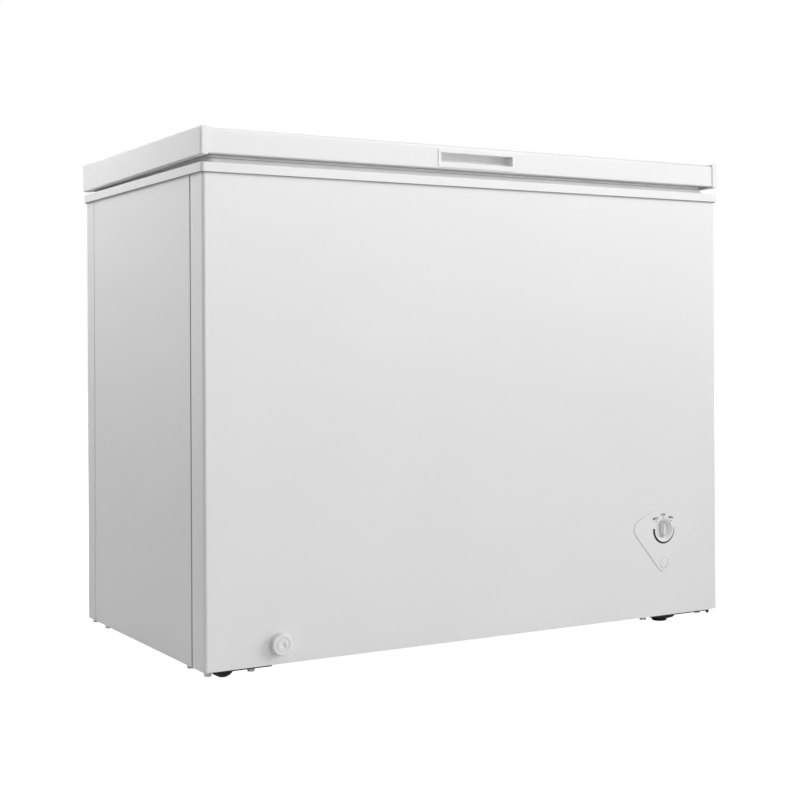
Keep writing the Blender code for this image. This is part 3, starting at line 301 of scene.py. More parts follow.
# Slot, colour, roughness and metallic value, then noise: the mottling's scale, detail and spread,
# the roughness's scale and spread, the relief's scale, detail, depth and strength.
NOISY = {
    "painted_steel": ("white_steel", 0.84, 0.38, 0, (3.5, 2, 0.01), (40, 0.03), (420, 2, 0.00003, 0.25)),
    "moulded_white": ("white_plastic", 0.85, 0.42, 0, (12, 2, 0.012), (120, 0.05),
                      (1500, 2, 0.00002, 0.35)),
    "liner_white": ("liner", 0.86, 0.34, 0, (5, 2, 0.012), (60, 0.05), (260, 2, 0.00005, 0.35)),
    "moulded_grey": ("white_plastic", 0.52, 0.42, 0, (12, 2, 0.012), (120, 0.05), (1500, 2, 0.00002, 0.35)),
    "seal_rubber": ("gasket", 0.8, 0.62, 0, (25, 3, 0.05), (160, 0.06), (900, 2, 0.00003, 0.5)),
    # Dark grey that paints the shade under the collar's band.
    "shade_strip_grey": ("gasket", 0.3, 0.7, 0, (40, 3, 0.06), (200, 0.05), (900, 2, 0.00003, 0.5)),
    # Near-black that paints the shade inside the skins' seams.
    "seam_shade_black": ("gasket", 0.07, 0.5, 0, (60, 3, 0.1), None, (700, 2, 0.00005, 0.5)),
    "plated_fastener": ("zinc_steel", (0.66, 0.65, 0.62), 0.34, 1, (300, 3, 0.1), (500, 0.08),
                        (1200, 2, 0.00002, 0.4)),
    "spring_steel": ("zinc_steel", (0.34, 0.34, 0.36), 0.36, 1, (200, 3, 0.15), (400, 0.08),
                     (900, 2, 0.00002, 0.4)),
    "black_moulding": ("black_plastic", 0.03, 0.52, 0, (60, 3, 0.2), (200, 0.08), (1400, 2, 0.00004, 0.5)),
    "black_enamel": ("black_steel", 0.022, 0.3, 0, (40, 3, 0.25), (70, 0.08), (350, 2, 0.00006, 0.4)),
    "drawn_copper": ("copper", (0.76, 0.4, 0.24), 0.3, 1, (70, 4, 0.22), (120, 0.12),
                     (800, 2, 0.00003, 0.4)),
    "bare_aluminium": ("aluminium", (0.76, 0.77, 0.78), 0.36, 1, (90, 3, 0.08), (200, 0.08),
                       (900, 2, 0.00003, 0.4)),
    "lens_white": ("lamp", 0.86, 0.22, 0, (200, 2, 0.02), (300, 0.04), (700, 1, 0.00002, 0.3)),
    "printed_ink": ("black_plastic", 0.012, 0.45, 0, (900, 2, 0.2), (900, 0.05), (2500, 2, 0.00001, 0.4)),
    "tyre_nylon": ("wheel", 0.06, 0.5, 0, (90, 4, 0.3), (150, 0.12), (500, 3, 0.00008, 0.5)),
    "coated_wire": ("white_steel", 0.85, 0.3, 0, (60, 2, 0.015), (200, 0.04), (500, 2, 0.00004, 0.4)),
}


def make_finishes():
    """One finish for each material of the real thing, by name, and two dark greys that paint shade in gaps.
    """
    made = {}
    for name, (_, colour, roughness, metallic, mottle, sheen, relief) in NOISY.items():
        f = made[name] = Finish(name, colour, roughness, metallic)
        f.tint(f.noise(*mottle[:2]), mottle[2])
        if sheen:
            f.polish(f.noise(sheen[0]), sheen[1])
        f.bump(f.noise(*relief[:2]), *relief[2:])
    waves = made["painted_steel"]
    waves.bump(waves.noise(9, 1), 0.0004, 0.05)
    made["painted_steel"].set(**coat(0.15, 0.22))
    made["black_enamel"].set(**coat(0.4, 0.12))
    made["coated_wire"].set(**coat(0.25, 0.1))
    made["lens_white"].set(Subsurface_Weight=0.15, Subsurface_Scale=0.002, **coat(0.3, 0.1))

    foam = made["rigid_foam"] = Finish("rigid_foam", (0.86, 0.76, 0.52), 0.5)
    foam.tint(foam.noise(30, 4), 0.08)
    foam.bump(foam.cells(900, "Distance"), 0.0002, 0.6)
    zinc = made["galvanised"] = Finish("galvanised", (0.62, 0.63, 0.64), 0.42, 1)
    spangle = (0.1, 0.9)
    zinc.tint(zinc.cells(130), 0.16, spangle)
    zinc.polish(zinc.cells(130), 0.12, spangle)
    zinc.bump(zinc.noise(600, 3), 0.00003, 0.4)
    return {name: finish.material for name, finish in made.items()}


# ---------------------------------------------------------------- flat shapes


def arc(centre, radius, start, end, steps=8):
    """Points on a circle from one angle to another, in degrees."""
    points = []
    for i in range(steps + 1):
        angle = math.radians(start + (end - start) * i / steps)
        points.append((centre[0] + radius * math.cos(angle), centre[1] + radius * math.sin(angle)))
    return points


def rounded(points, radius, steps=6, closed=True):
    """A flat path with arcs in its corners; radius is one value, or one for each corner."""
    count = len(points)
    radii = radius if isinstance(radius, (list, tuple)) else [radius] * count
    path = []
    for i, r in enumerate(radii):
        corner = Vector(points[i])
        if r == 0 or (not closed and i in (0, count - 1)):
            path.append(tuple(corner))
            continue
        back = Vector(points[i - 1]) - corner
        on = Vector(points[(i + 1) % count]) - corner
        half = back.angle(on) / 2
        reach = min(r / math.tan(half), 0.49 * min(back.length, on.length))
        r = reach * math.tan(half)
        start = corner + back.normalized() * reach
        end = corner + on.normalized() * reach
        centre = corner + (back.normalized() + on.normalized()).normalized() * (r / math.sin(half))
        first = math.atan2(start.y - centre.y, start.x - centre.x)
        turn = math.atan2(end.y - centre.y, end.x - centre.x) - first
        turn = (turn + math.pi) % (2 * math.pi) - math.pi
        for k in range(steps + 1):
            angle = first + turn * k / steps
            path.append((centre.x + r * math.cos(angle), centre.y + r * math.sin(angle)))
    return path


def box_outline(low, high, radius, steps=6):
    return rounded([low, (high[0], low[1]), high, (low[0], high[1])], radius, steps)


def beside(path, distance):
    """An open flat path moved to its left."""
    moved = []
    for i, point in enumerate(path):
        here = Vector(point)
        sides = []
        if i > 0:
            sides.append((here - Vector(path[i - 1])).normalized())
        if i < len(path) - 1:
            sides.append((Vector(path[i + 1]) - here).normalized())
        normal = sum((Vector((-s.y, s.x)) for s in sides), Vector((0, 0))).normalized()
        stretch = 1 / max(0.3, normal.dot(Vector((-sides[0].y, sides[0].x))))
        moved.append(tuple(here + normal * distance * stretch))
    return moved


def ribbon(path, thickness):
    """The closed outline of a sheet of that thickness whose one face follows a path."""
    return list(path) + list(reversed(beside(path, thickness)))


# ---------------------------------------------------------------- solids


def loft(bm, rings, closed=False):
    loops = [[bm.verts.new(p) for p in ring] for ring in rings]
    pairs = list(zip(loops, loops[1:]))
    if closed:
        pairs.append((loops[-1], loops[0]))
    for a, b in pairs:
        for i in range(len(a)):
            j = (i + 1) % len(a)
            bm.faces.new((a[i], a[j], b[j], b[i]))
    if not closed:
        bm.faces.new(list(reversed(loops[0])))
        bm.faces.new(loops[-1])
    return bm


def lofted(rings, closed=False):
    return loft(bmesh.new(), rings, closed)


def along(axis, a, b, h):
    return {"x": (h, a, b), "y": (a, h, b), "z": (a, b, h)}[axis]


def extrude(outline, axis, low, high):
    """An outline in the other two axes, drawn out along x, y or z."""
    return lofted([[along(axis, a, b, h) for a, b in outline] for h in (low, high)])


def slab(low, high, radius, steps, axis, near, far):
    """A plate with rounded corners, drawn out along an axis."""
    return extrude(box_outline(low, high, radius, steps), axis, near, far)


def block(low, high):
    return extrude([(low[0], low[1]), (high[0], low[1]), (high[0], high[1]), (low[0], high[1])], "z",
                   low[2], high[2])


def turned(profile, centre, axis, segments=64):
    """A profile of (radius, height) turned about an axis; radius 0 closes it there."""
    centre = Vector(centre)
    bm = bmesh.new()
    rings = []
    for radius, height in profile:
        if radius == 0:
            rings.append([bm.verts.new(centre + Vector(along(axis, 0, 0, height)))])
            continue
        ring = []
        for i in range(segments):
            angle = 2 * math.pi * i / segments
            ring.append(bm.verts.new(centre + Vector(along(axis, radius * math.cos(angle),
                                                           radius * math.sin(angle), height))))
        rings.append(ring)
    pairs = list(zip(rings, rings[1:]))
    if profile[0][0] > 0:
        pairs.append((rings[-1], rings[0]))
    for a, b in pairs:
        for i in range(segments):
            j = (i + 1) % segments
            if len(a) == 1:
                bm.faces.new((a[0], b[j], b[i]))
            elif len(b) == 1:
                bm.faces.new((a[i], a[j], b[0]))
            else:
                bm.faces.new((a[i], a[j], b[j], b[i]))
    return bm


def rod(radius, low, high, centre, axis, segments):
    return turned([(0, low), (radius, low), (radius, high), (0, high)], centre, axis, segments)


def lathe(points, radii, centre, axis, segments):
    """A turned solid whose profile has rounded corners; its ends lie on the axis."""
    return turned(rounded(points, radii, 4, closed=False), centre, axis, segments)


def tube(bm, path, radius, sides=8, closed=False):
    """A round rod along a path, carried without twist."""
    path = [Vector(p) for p in path]
    rings = []
    side = None
    for i, point in enumerate(path):
        before = path[i - 1] if closed or i else path[0]
        after = path[(i + 1) % len(path)] if closed or i < len(path) - 1 else path[-1]
        ahead = (after - before).normalized()
        if side is None:
            side = ahead.orthogonal().normalized()
        side = (side - ahead * side.dot(ahead)).normalized()
        up = ahead.cross(side)
        ring = []
        for k in range(sides):
            angle = 2 * math.pi * k / sides
            ring.append(point + side * radius * math.cos(angle) + up * radius * math.sin(angle))
        rings.append(ring)
    return loft(bm, rings, closed)


def bent(points, radius, steps):
    """An open path in space with arcs in its corners."""
    points = [Vector(p) for p in points]
    path = [points[0]]
    for before, corner, after in zip(points, points[1:], points[2:]):
        back = (before - corner).normalized()
        on = (after - corner).normalized()
        half = back.angle(on) / 2
        reach = radius / math.tan(half)
        centre = corner + (back + on).normalized() * (radius / math.sin(half))
        start = corner + back * reach - centre
        turn = start.rotation_difference(corner + on * reach - centre)
        for k in range(steps + 1):
            path.append(centre + Quaternion(turn.axis, turn.angle * k / steps) @ start)
    return path + [points[-1]]


def cabinet_ring(inset, z, radius, steps=6):
    """The cabinet's plan outline, moved in by an inset."""
    return [(x, y, z) for x, y in box_outline((inset, inset), (W - inset, D - inset), radius, steps)]


def raw_object(bm):
    bmesh.ops.recalc_face_normals(bm, faces=bm.faces)
    mesh = bpy.data.meshes.new("shape")
    bm.to_mesh(mesh)
    bm.free()
    return link(bpy.data.objects.new("shape", mesh))


def combine(base, tools, operation):
    """An exact union or difference of solids, given and returned as a bmesh."""
    target = raw_object(base)
    made = []
    for tool in tools:
        made.append(raw_object(tool))
        modifier = target.modifiers.new("combine", "BOOLEAN")
        modifier.operation = operation
        modifier.solver = "EXACT"
        modifier.object = made[-1]
    bpy.context.view_layer.update()
    result = bmesh.new()
    evaluated = target.evaluated_get(bpy.context.evaluated_depsgraph_get())
    result.from_mesh(evaluated.to_mesh())
    evaluated.to_mesh_clear()
    for obj in [target, *made]:
        bpy.data.objects.remove(obj, do_unlink=True)
    return result


def carve(base, *tools):
    return combine(base, tools, "DIFFERENCE")


def fuse(base, *tools):
    return combine(base, tools, "UNION")


def together(*parts):
    """Separate solids held in one bmesh."""
    result = bmesh.new()
    for part in parts:
        mesh = bpy.data.meshes.new("part")
        bmesh.ops.recalc_face_normals(part, faces=part.faces)
        part.to_mesh(mesh)
        part.free()
        result.from_mesh(mesh)
        bpy.data.meshes.remove(mesh)
    return result


def moved(bm, matrix):
    bmesh.ops.transform(bm, matrix=matrix, verts=bm.verts)
    return bm


def soft_block(low, high, radius, segments=4):
    """A block whose edges are all rounded."""
    bm = block(low, high)
    bmesh.ops.bevel(bm, geom=list(bm.edges), offset=radius, offset_type="OFFSET", segments=segments,
                    profile=0.5,
                    affect="EDGES")
    return bm


def screw_head(centre, axis, radius, height):
    """A domed head with a cross recess, standing off a face along an axis."""
    head = turned([(0, 0), (radius, 0)] + [(radius * math.cos(a), height * (0.35 + 0.65 * math.sin(a)))
                  for a in (0.1, 0.5, 0.9, 1.25)] + [(0, height)], (0, 0, 0), "z", 24)
    arm = radius * 0.55
    slot = radius * 0.14
    deep = height * 0.45
    cross = [block((-arm, -slot, deep), (arm, slot, height * 2)),
             block((-slot, -arm, deep), (slot, arm, height * 2))]
    head = carve(head, *cross)
    return moved(head, facing(centre, axis, 1))


def facing(centre, axis, sign):
    """Stands a shape drawn along +z at a point, along an axis."""
    turn = Vector((0, 0, 1)).rotation_difference(Vector(along(axis, 0, 0, sign)))
    return Matrix.Translation(Vector(centre)) @ turn.to_matrix().to_4x4()


def bolt_head(centre):
    """A hexagon head on a round flange, hanging below a point."""
    radius = 0.01 / math.sqrt(3)
    flange = 0.0068
    ring = [(radius * math.cos(math.radians(60 * i)),
             radius * math.sin(math.radians(60 * i))) for i in range(6)]
    head = extrude(ring, "z", flange * 0.3, BOLT_LENGTH)
    head = fuse(head, lathe([(0, -0.0002), (flange, -0.0002), (flange, BOLT_LENGTH * 0.25),
                             (0, BOLT_LENGTH * 0.3)],
                            [0, 0, BOLT_LENGTH * 0.1, 0], (0, 0, 0), "z", 32))
    return moved(head, facing(centre, "z", -1))


# ---------------------------------------------------------------- pieces

FINISHES = make_finishes()


def screws(name, centres, axis, radius, height, body=CABINET):
    piece(name, together(*[screw_head(c, axis, radius, height) for c in centres]), "plated_fastener", body)


def bolts(name, x, y, offsets):
    heads = [bolt_head((x + dx, y + dy, PLATE_Z[0])) for dx, dy in offsets]
    piece(name, together(*heads), "plated_fastener", edge=0.0003)


def piece(name, bm, finish, body=CABINET, cad=(), edge=0.0, steps=2, angle=32):
    """Puts a shape into the scene on its body, with its finish and the solids it stands for."""
    bmesh.ops.recalc_face_normals(bm, faces=bm.faces)
    bmesh.ops.transform(bm, matrix=Matrix.Translation(ORIGIN), verts=bm.verts)
    mesh = bpy.data.meshes.new(name)
    bm.to_mesh(mesh)
    bm.free()
    mesh.materials.append(FINISHES[finish])
    obj = link(bpy.data.objects.new(name, mesh))
    mesh.shade_smooth()
    if edge:
        bevel = obj.modifiers.new("edges", "BEVEL")
        bevel.width = edge
        bevel.segments = steps
        bevel.limit_method = "ANGLE"
        bevel.angle_limit = math.radians(angle)
    else:
        mesh.set_sharp_from_angle(angle=math.radians(angle))
    normals = obj.modifiers.new("normals", "WEIGHTED_NORMAL")
    normals.keep_sharp = True
    normals.weight = 80
    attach(obj, body)
    if cad:
        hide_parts(*cad)
    return obj


# ---------------------------------------------------------------- cabinet skins

LIP = 0.002
LIP_R = 0.0007


def wrap_outline(y_corner, y_open):
    """Plan of a skin wrapped round two corners, its free edges turned in at the side seams."""
    path = rounded(
        [(LIP, y_open), (0, y_open), (0, y_corner), (W, y_corner), (W, y_open), (W - LIP, y_open)],
        [0, LIP_R, CORNER_R, CORNER_R, LIP_R, 0], 8, closed=False)
    return ribbon(path, SHEET if y_open > y_corner else -SHEET)


def front_skin():
    skin = extrude(wrap_outline(0.0, FRONT_RETURN), "z", 0.0, SHELL_TOP)
    skin = carve(skin, extrude(bezel_outline(-0.0036), "y", -0.01, 0.01),
                 rod(DRAIN_R, -0.01, 0.01, DRAIN, "y", 32))
    piece("front_skin", skin, "painted_steel", cad=["front_panel"])


def rear_skin():
    skin = extrude(wrap_outline(D, D - REAR_RETURN), "z", 0.0, SHELL_TOP)
    skin = carve(skin, block((COVER_X[0] + COVER_LAP, D - 0.01, COVER_Z[0] + COVER_LAP),
                             (COVER_X[1] - COVER_LAP, D + 0.01, COVER_Z[1] - COVER_LAP)),
                 rod(GLAND_R, -0.02, 0.02, GLAND, "y", 32))
    piece("rear_skin", skin, "painted_steel", cad=["rear_panel"])


def side_skin(name, right):
    y0 = FRONT_RETURN + FRONT_SEAM
    y1 = D - REAR_RETURN - REAR_SEAM
    path = rounded([(LIP, y0), (0, y0), (0, y1), (LIP, y1)], [0, LIP_R, LIP_R, 0], 6, closed=False)
    outline = ribbon(path, -SHEET)
    if right:
        outline = [(W - x, y) for x, y in outline]
    skin = extrude(outline, "z", 0.0, SHELL_TOP)
    if right:
        skin = carve(skin, block((W - 0.01, GRILLE_Y[0] + 0.01, GRILLE_Z[0] + 0.01),
                                 (W + 0.01, GRILLE_Y[1] - 0.01, GRILLE_Z[1] - 0.01)))
    piece(name, skin, "painted_steel", cad=["right_side_panel" if right else "left_side_panel"])


def seam_shade_tapes():
    """Near-black tape behind the four seams: painted shade inside the seam gaps."""
    for side, x0 in (("left", 0.0008), ("right", W - 0.0011)):
        for end, low, high in (("front", FRONT_RETURN - 0.003, FRONT_RETURN + FRONT_SEAM + 0.003),
                               ("rear", D - REAR_RETURN - REAR_SEAM - 0.003, D - REAR_RETURN + 0.003)):
            piece(f"seam_gap_shade_{side}_{end}",
                  block((x0, low, 0.002), (x0 + 0.0003, high, SHELL_TOP - 0.001)),
                  "seam_shade_black", edge=0.0001)


def skins():
    front_skin()
    rear_skin()
    side_skin("side_skin_left", False)
    side_skin("side_skin_right", True)
    seam_shade_tapes()


# ---------------------------------------------------------------- top frame and tub


def frame_collar():
    out = -FRAME_OUT
    lip = WALL + 0.0004
    points = [(out, BAND_BOTTOM), (out, BAND_TOP), (0.0125, BAND_TOP), (0.0165, RIM_TOP), (0.0455, RIM_TOP),
              (0.0488, LEDGE_Z), (lip + 0.0016, LEDGE_Z), (lip + 0.0016, 0.755), (lip, 0.755),
              (lip, SHELL_TOP + 0.0005), (-0.0013, SHELL_TOP + 0.0005), (-0.0013, BAND_BOTTOM)]
    radii = [0.0004, 0.0013, 0.0012, 0.0012, 0.0012, 0.001, 0.0016, 0.0005, 0, 0, 0, 0]
    profile = rounded(points, radii, 5)
    rings = [cabinet_ring(inset, z, max(0.004, corner_radius(inset)), 8) for inset, z in profile]
    piece("frame_collar", lofted(rings, closed=True), "moulded_white", cad=["top_frame"])


def frame_shade_strip():
    """A dark strip under the collar's band: its grey colour is painted shade where the band shadows the
    skin.
    """
    low, high = BAND_BOTTOM - 0.0009, BAND_BOTTOM + 0.0004
    profile = [(-0.003, low), (-0.003, high), (-0.0015, high), (-0.0015, low)]
    rings = [cabinet_ring(inset, z, corner_radius(inset), 8) for inset, z in profile]
    piece("frame_shade_strip", lofted(rings, closed=True), "shade_strip_grey", edge=0.0002)


def corner_radius(inset):
    """The collar's corners are near the skins' radius outside and the tub's radius inside."""
    share = min(1.0, max(0.0, (inset + FRAME_OUT) / (WALL + FRAME_OUT)))
    return FRAME_R + (TUB_R - FRAME_R) * share


def tub_shape(grow, top):
    x0, y0 = WALL - grow, WALL - grow
    x1, y1 = W - WALL + grow, D - WALL + grow
    radius = TUB_R + grow
    well = soft_block((x0, y0, TUB_FLOOR - grow), (STEP_X + grow, y1, top), radius, 8)
    shelf = soft_block((x0, y0, STEP_Z - grow), (x1, y1, top), radius, 8)
    return fuse(well, shelf)


def tub_liner():
    top = SHELL_TOP + 0.06
    bead = [block((-0.1, -0.1, SHELL_TOP - 0.0005), (W + 0.1, D + 0.1, 1.0)),
            rod(DRAIN_R, 0.05, 0.07, (DRAIN.x, DRAIN_Y, 0), "z", 32)]
    liner = carve(tub_shape(0.001, top), tub_shape(0.0, top + 0.02), *bead)
    piece("tub_liner", liner, "liner_white", cad=["inner_liner"])


def drain_plug():
    z = TUB_FLOOR
    plug = lathe([(0, z - 0.013), (0.005, z - 0.013), (0.0054, z + 0.0003), (0.013, z + 0.0003),
                  (0.013, z + 0.0036), (0.0065, z + 0.0048), (0.0036, z + 0.007), (0.004, z + 0.0124),
                  (0, z + 0.0124)], [0, 0.0008, 0, 0, 0.0014, 0.002, 0.002, 0.0012, 0],
                 (DRAIN.x, DRAIN_Y, 0), "z", 48)
    piece("drain_plug", plug, "seal_rubber", "inner_plug", ["drain_inner_plug"])


# ---------------------------------------------------------------- basket


def basket_wires():
    x0, x1 = BASKET_X[0] + 0.003, BASKET_X[1] - 0.003
    y0, y1 = BASKET_Y[0] + 0.003, BASKET_Y[1] - 0.003
    low, high = BASKET_Z[0] + 0.003, BASKET_Z[1] - 0.004
    bm = bmesh.new()
    thick, thin = 0.0024, 0.0014

    def hoop(z, radius, inset=0.0):
        path = [(x, y, z) for x, y in box_outline((x0 + inset, y0 + inset), (x1 - inset, y1 - inset), 0.022,
                                                  8)]
        tube(bm, path, radius, 8, closed=True)

    hoop(high, thick)
    hoop(low + 0.085, thin)
    hoop(low + 0.15, thin)
    hoop(low + 0.026, thick * 0.8)
    floor = low + 0.0016
    step = thin * 1.2
    ribs = 15
    for i in range(ribs):
        y = y0 + 0.024 + (y1 - y0 - 0.048) * i / (ribs - 1)
        path = [(x0 + step, y, high), (x0 + step, y, floor), (x1 - step, y, floor), (x1 - step, y, high)]
        tube(bm, bent(path, 0.02, 6), thin, 8)
    ribs = 7
    for i in range(ribs):
        x = x0 + 0.03 + (x1 - x0 - 0.06) * i / (ribs - 1)
        path = [(x, y0 + step, high), (x, y0 + step, floor + 2 * thin), (x, y1 - step, floor + 2 * thin),
                (x, y1 - step, high)]
        tube(bm, bent(path, 0.02, 6), thin, 8)
    for y_in, y_out in ((y0, HOOK_Y[0]), (y1, HOOK_Y[1])):
        sign = 1 if y_out > y_in else -1
        for x in (x0 + 0.04, x1 - 0.04):
            path = [(x, y_in - sign * 0.001, high - 0.03), (x, y_in - sign * 0.001, LEDGE_Z + 0.0026),
                    (x, y_out - sign * 0.002, LEDGE_Z + 0.0026)]
            tube(bm, bent(path, 0.0035, 4), 0.002, 8)
    piece("basket_wires", bm, "coated_wire", "hanging_basket", ["basket"], angle=50)


def basket_grips():
    """A moulded grip clipped over the rim at each end."""
    middle = (BASKET_X[0] + BASKET_X[1]) / 2
    half = 0.048
    for end, y, sign in (("front", BASKET_Y[0] + 0.003, -1), ("rear", BASKET_Y[1] - 0.003, 1)):
        high = BASKET_Z[1] - 0.004
        profile = box_outline((y - 0.0042, high - 0.012), (y + 0.0042, high + 0.0042), 0.0035, 5)
        body = extrude(profile, "x", middle - half, middle + half)
        body = carve(body, extrude(box_outline((middle - 0.03, high - 0.0105),
                                               (middle + 0.03, high - 0.0055),
                                               0.0022, 5), "y", y - 0.01, y + 0.01))
        piece(f"basket_grip_{end}", body, "moulded_white", "hanging_basket", edge=0.001, steps=3)


# ---------------------------------------------------------------- thermostat

BEZEL_HALF_W = 0.0675
BEZEL_TOP = 0.1908
BEZEL_TOP_R = 0.115
BEZEL_SHOULDER_R = 0.017
BEZEL_TIP_Z = 0.095
BEZEL_TIP_R = 0.014
BEZEL_PROUD = 0.0013
KNOB_R = 0.0137
DISH_R = 0.0202
SCALE_R = 0.025
KNOB_FACE = 0.0045
GRIP_FACE = 0.002


def bezel_outline(grow):
    """A triangle on its tip with a crowned upper edge, as (x, z)."""
    side = BEZEL_HALF_W - BEZEL_SHOULDER_R
    crown = (DIAL.x, BEZEL_TOP - BEZEL_TOP_R)
    reach = BEZEL_TOP_R - BEZEL_SHOULDER_R
    shoulder_z = crown[1] + math.sqrt(reach ** 2 - side ** 2)
    crown_end = math.degrees(math.acos(side / reach))
    run = Vector((side, shoulder_z - BEZEL_TIP_Z))
    taper = math.asin((BEZEL_SHOULDER_R - BEZEL_TIP_R) / run.length)
    lean = math.degrees(math.atan2(run.y, run.x) - taper) - 90
    points = arc((DIAL.x, BEZEL_TIP_Z), BEZEL_TIP_R + grow, -180 - lean, lean, 20)
    points += arc((DIAL.x + side, shoulder_z), BEZEL_SHOULDER_R + grow, lean, crown_end, 16)
    points += arc(crown, BEZEL_TOP_R + grow, crown_end, 180 - crown_end, 32)[1:-1]
    points += arc((DIAL.x - side, shoulder_z), BEZEL_SHOULDER_R + grow, 180 - crown_end, 180 - lean, 16)
    return points


def bezel():
    edge = 0.0005
    rings = [[(x, h, z) for x, z in bezel_outline(grow)] for grow, h in (
        (-0.004, 0.0125), (-0.004, -0.0003), (0.0, -0.0003), (0.0, edge - BEZEL_PROUD),
        (-edge * 0.3, edge * 0.3 - BEZEL_PROUD), (-edge, -BEZEL_PROUD))]
    face = lofted(rings)
    mouth = -BEZEL_PROUD
    lip = 0.0004
    dish = turned([(0, mouth - 0.001), (DISH_R + 2 * lip, mouth - 0.001), (DISH_R + lip, mouth),
                   (DISH_R, mouth + lip * 0.4), (DISH_R - lip * 0.6, mouth + lip * 1.2),
                   (KNOB_R + 0.0011, KNOB_FACE - 0.0006), (KNOB_R + 0.0007, KNOB_FACE),
                   (KNOB_R + 0.0007, 0.01), (0, 0.01)],
                  DIAL, "y", 96)
    stem = rod(0.0036, 0.005, 0.02, DIAL, "y", 32)
    hole = turned([(0, -0.01), (0.0102, -0.01), (0.0102, mouth - 0.0001), (0.0099, mouth + 0.0004),
                   (0.0099, 0.02),
                   (0, 0.02)], LAMP, "y", 64)
    piece("thermostat_face", carve(face, dish, stem, hole), "moulded_white", cad=["control_bezel"],
          angle=40)


def bezel_seal():
    """The grey seal that shows as a fine line round the bezel."""
    rings = [[(x, y, z) for x, z in bezel_outline(grow)] for grow, y in (
        (0.0008, -0.0002), (0.0008, -0.0008), (0.0006, -0.001), (-0.001, -0.001), (-0.001, -0.0002))]
    piece("bezel_seal", lofted(rings, closed=True), "seal_rubber", angle=50)


def dial_print():
    """The printed scale: an arc that grows thicker the colder the setting, dots and words."""
    ink = -BEZEL_PROUD - 0.00006
    base = -BEZEL_PROUD + 0.00004
    outer, inner = [], []
    steps = 72
    for i in range(steps + 1):
        share = i / steps
        angle = math.radians(172 + (368 - 172) * share)
        wide = 0.0046 - 0.0037 * max(0.0, (share - 0.25) / 0.75) ** 0.9
        outer.append((DIAL.x + SCALE_R * math.cos(angle), DIAL.z + SCALE_R * math.sin(angle)))
        inner.append((DIAL.x + (SCALE_R - wide) * math.cos(angle),
                      DIAL.z + (SCALE_R - wide) * math.sin(angle)))
    scale = extrude(outer + inner[::-1], "y", ink, base)
    dots = [rod(0.0012, ink, base, (x, 0, z), "y", 20)
            for x, z in ((0.886, 0.1725), (0.9037, 0.1787), (0.9213, 0.172))]
    piece("dial_scale", together(scale, *dots), "printed_ink", angle=60)
    for name, word, x, z, turn in (("dial_coldest", "MAX", 0.885, 0.1778, 8),
                                   ("dial_off", "OFF", 0.9025, 0.1835, 0),
                                   ("dial_warmest", "MIN", 0.921, 0.1778, -8)):
        text = bpy.data.curves.new(name, "FONT")
        text.body = word
        text.size = 0.0061
        text.align_x = "CENTER"
        text.align_y = "CENTER"
        text.extrude = 0.00005
        text.offset = 0.00016
        holder = link(bpy.data.objects.new("shape", text))
        bpy.context.view_layer.update()
        evaluated = holder.evaluated_get(bpy.context.evaluated_depsgraph_get())
        bm = bmesh.new()
        bm.from_mesh(evaluated.to_mesh())
        evaluated.to_mesh_clear()
        bpy.data.objects.remove(holder, do_unlink=True)
        upright = Matrix.Rotation(math.radians(90), 4, "X")
        lean = Matrix.Rotation(math.radians(turn), 4, "Y")
        moved(bm, Matrix.Translation((x, (ink + base) / 2, z)) @ lean.inverted() @ upright)
        piece(name, bm, "printed_ink", angle=60)


def knob():
    profile = rounded([(0, KNOB_FACE + 0.0008), (0.0098, KNOB_FACE + 0.0008), (0.0108, KNOB_FACE),
                       (KNOB_R, KNOB_FACE), (KNOB_R, 0.0095), (0.003, 0.0095), (0.003, 0.0136),
                       (0, 0.0136)],
                      [0, 0.0006, 0.0006, 0.0007, 0.0003, 0, 0, 0], 4, closed=False)
    disc = turned(profile, DIAL, "y", 96)
    half = 0.004
    top, low, tip = DIAL.z + 0.0124, DIAL.z - 0.0095, DIAL.z - 0.0134
    grip = [(DIAL.x - half, top), (DIAL.x - half, low), (DIAL.x, tip), (DIAL.x + half, low),
            (DIAL.x + half, top)]
    grip = extrude(rounded(grip, [0.0025, 0.002, 0.0008, 0.002, 0.0025], 5), "y", GRIP_FACE,
                   KNOB_FACE + 0.001)
    piece("knob", disc, "moulded_white", "knob", ["thermostat_knob"], angle=40)
    piece("knob_grip", grip, "moulded_grey", "knob", edge=0.0005, steps=3)
    mark = extrude(rounded([(DIAL.x - 0.0005, tip + 0.007), (DIAL.x - 0.0005, tip + 0.0012),
                            (DIAL.x + 0.0005, tip + 0.0012), (DIAL.x + 0.0005, tip + 0.007)], 0.0003, 3),
                   "y",
                   GRIP_FACE - 0.00006, GRIP_FACE + 0.0001)
    piece("knob_mark", mark, "printed_ink", "knob")


def lens():
    dome = [(0.0095 * math.sin(a), -0.0019 + 0.0011 * (1 - math.cos(a))) for a in
            (math.radians(10 * i) for i in range(1, 9))]
    profile = [(0, -0.0019)] + dome + [(0.0095, -0.0006), (0.0095, 0.009), (0, 0.009)]
    piece("lamp_lens", turned(profile, LAMP, "y", 64), "lens_white", cad=["indicator_lens"])


def drain_cap():
    front = -0.012
    r = 0.0173
    profile = [(0, front + 0.0014), (0.0036, front + 0.0014), (0.0044, front), (0.0098, front),
               (0.0103, front + 0.0011), (0.0111, front + 0.0011), (0.0116, front), (r - 0.0004, front),
               (r, -0.0004), (0.0086, -0.0004), (0.0086, -0.0082), (0, -0.0082)]
    radii = [0, 0.0008, 0.0007, 0.0006, 0.0003, 0.0003, 0.0006, 0.0018, 0.0003, 0, 0, 0]
    piece("drain_cap", lathe(profile, radii, DRAIN, "y", 72), "moulded_white", "outer_cap",
          ["drain_outer_cap"])


# ---------------------------------------------------------------- rollers and feet


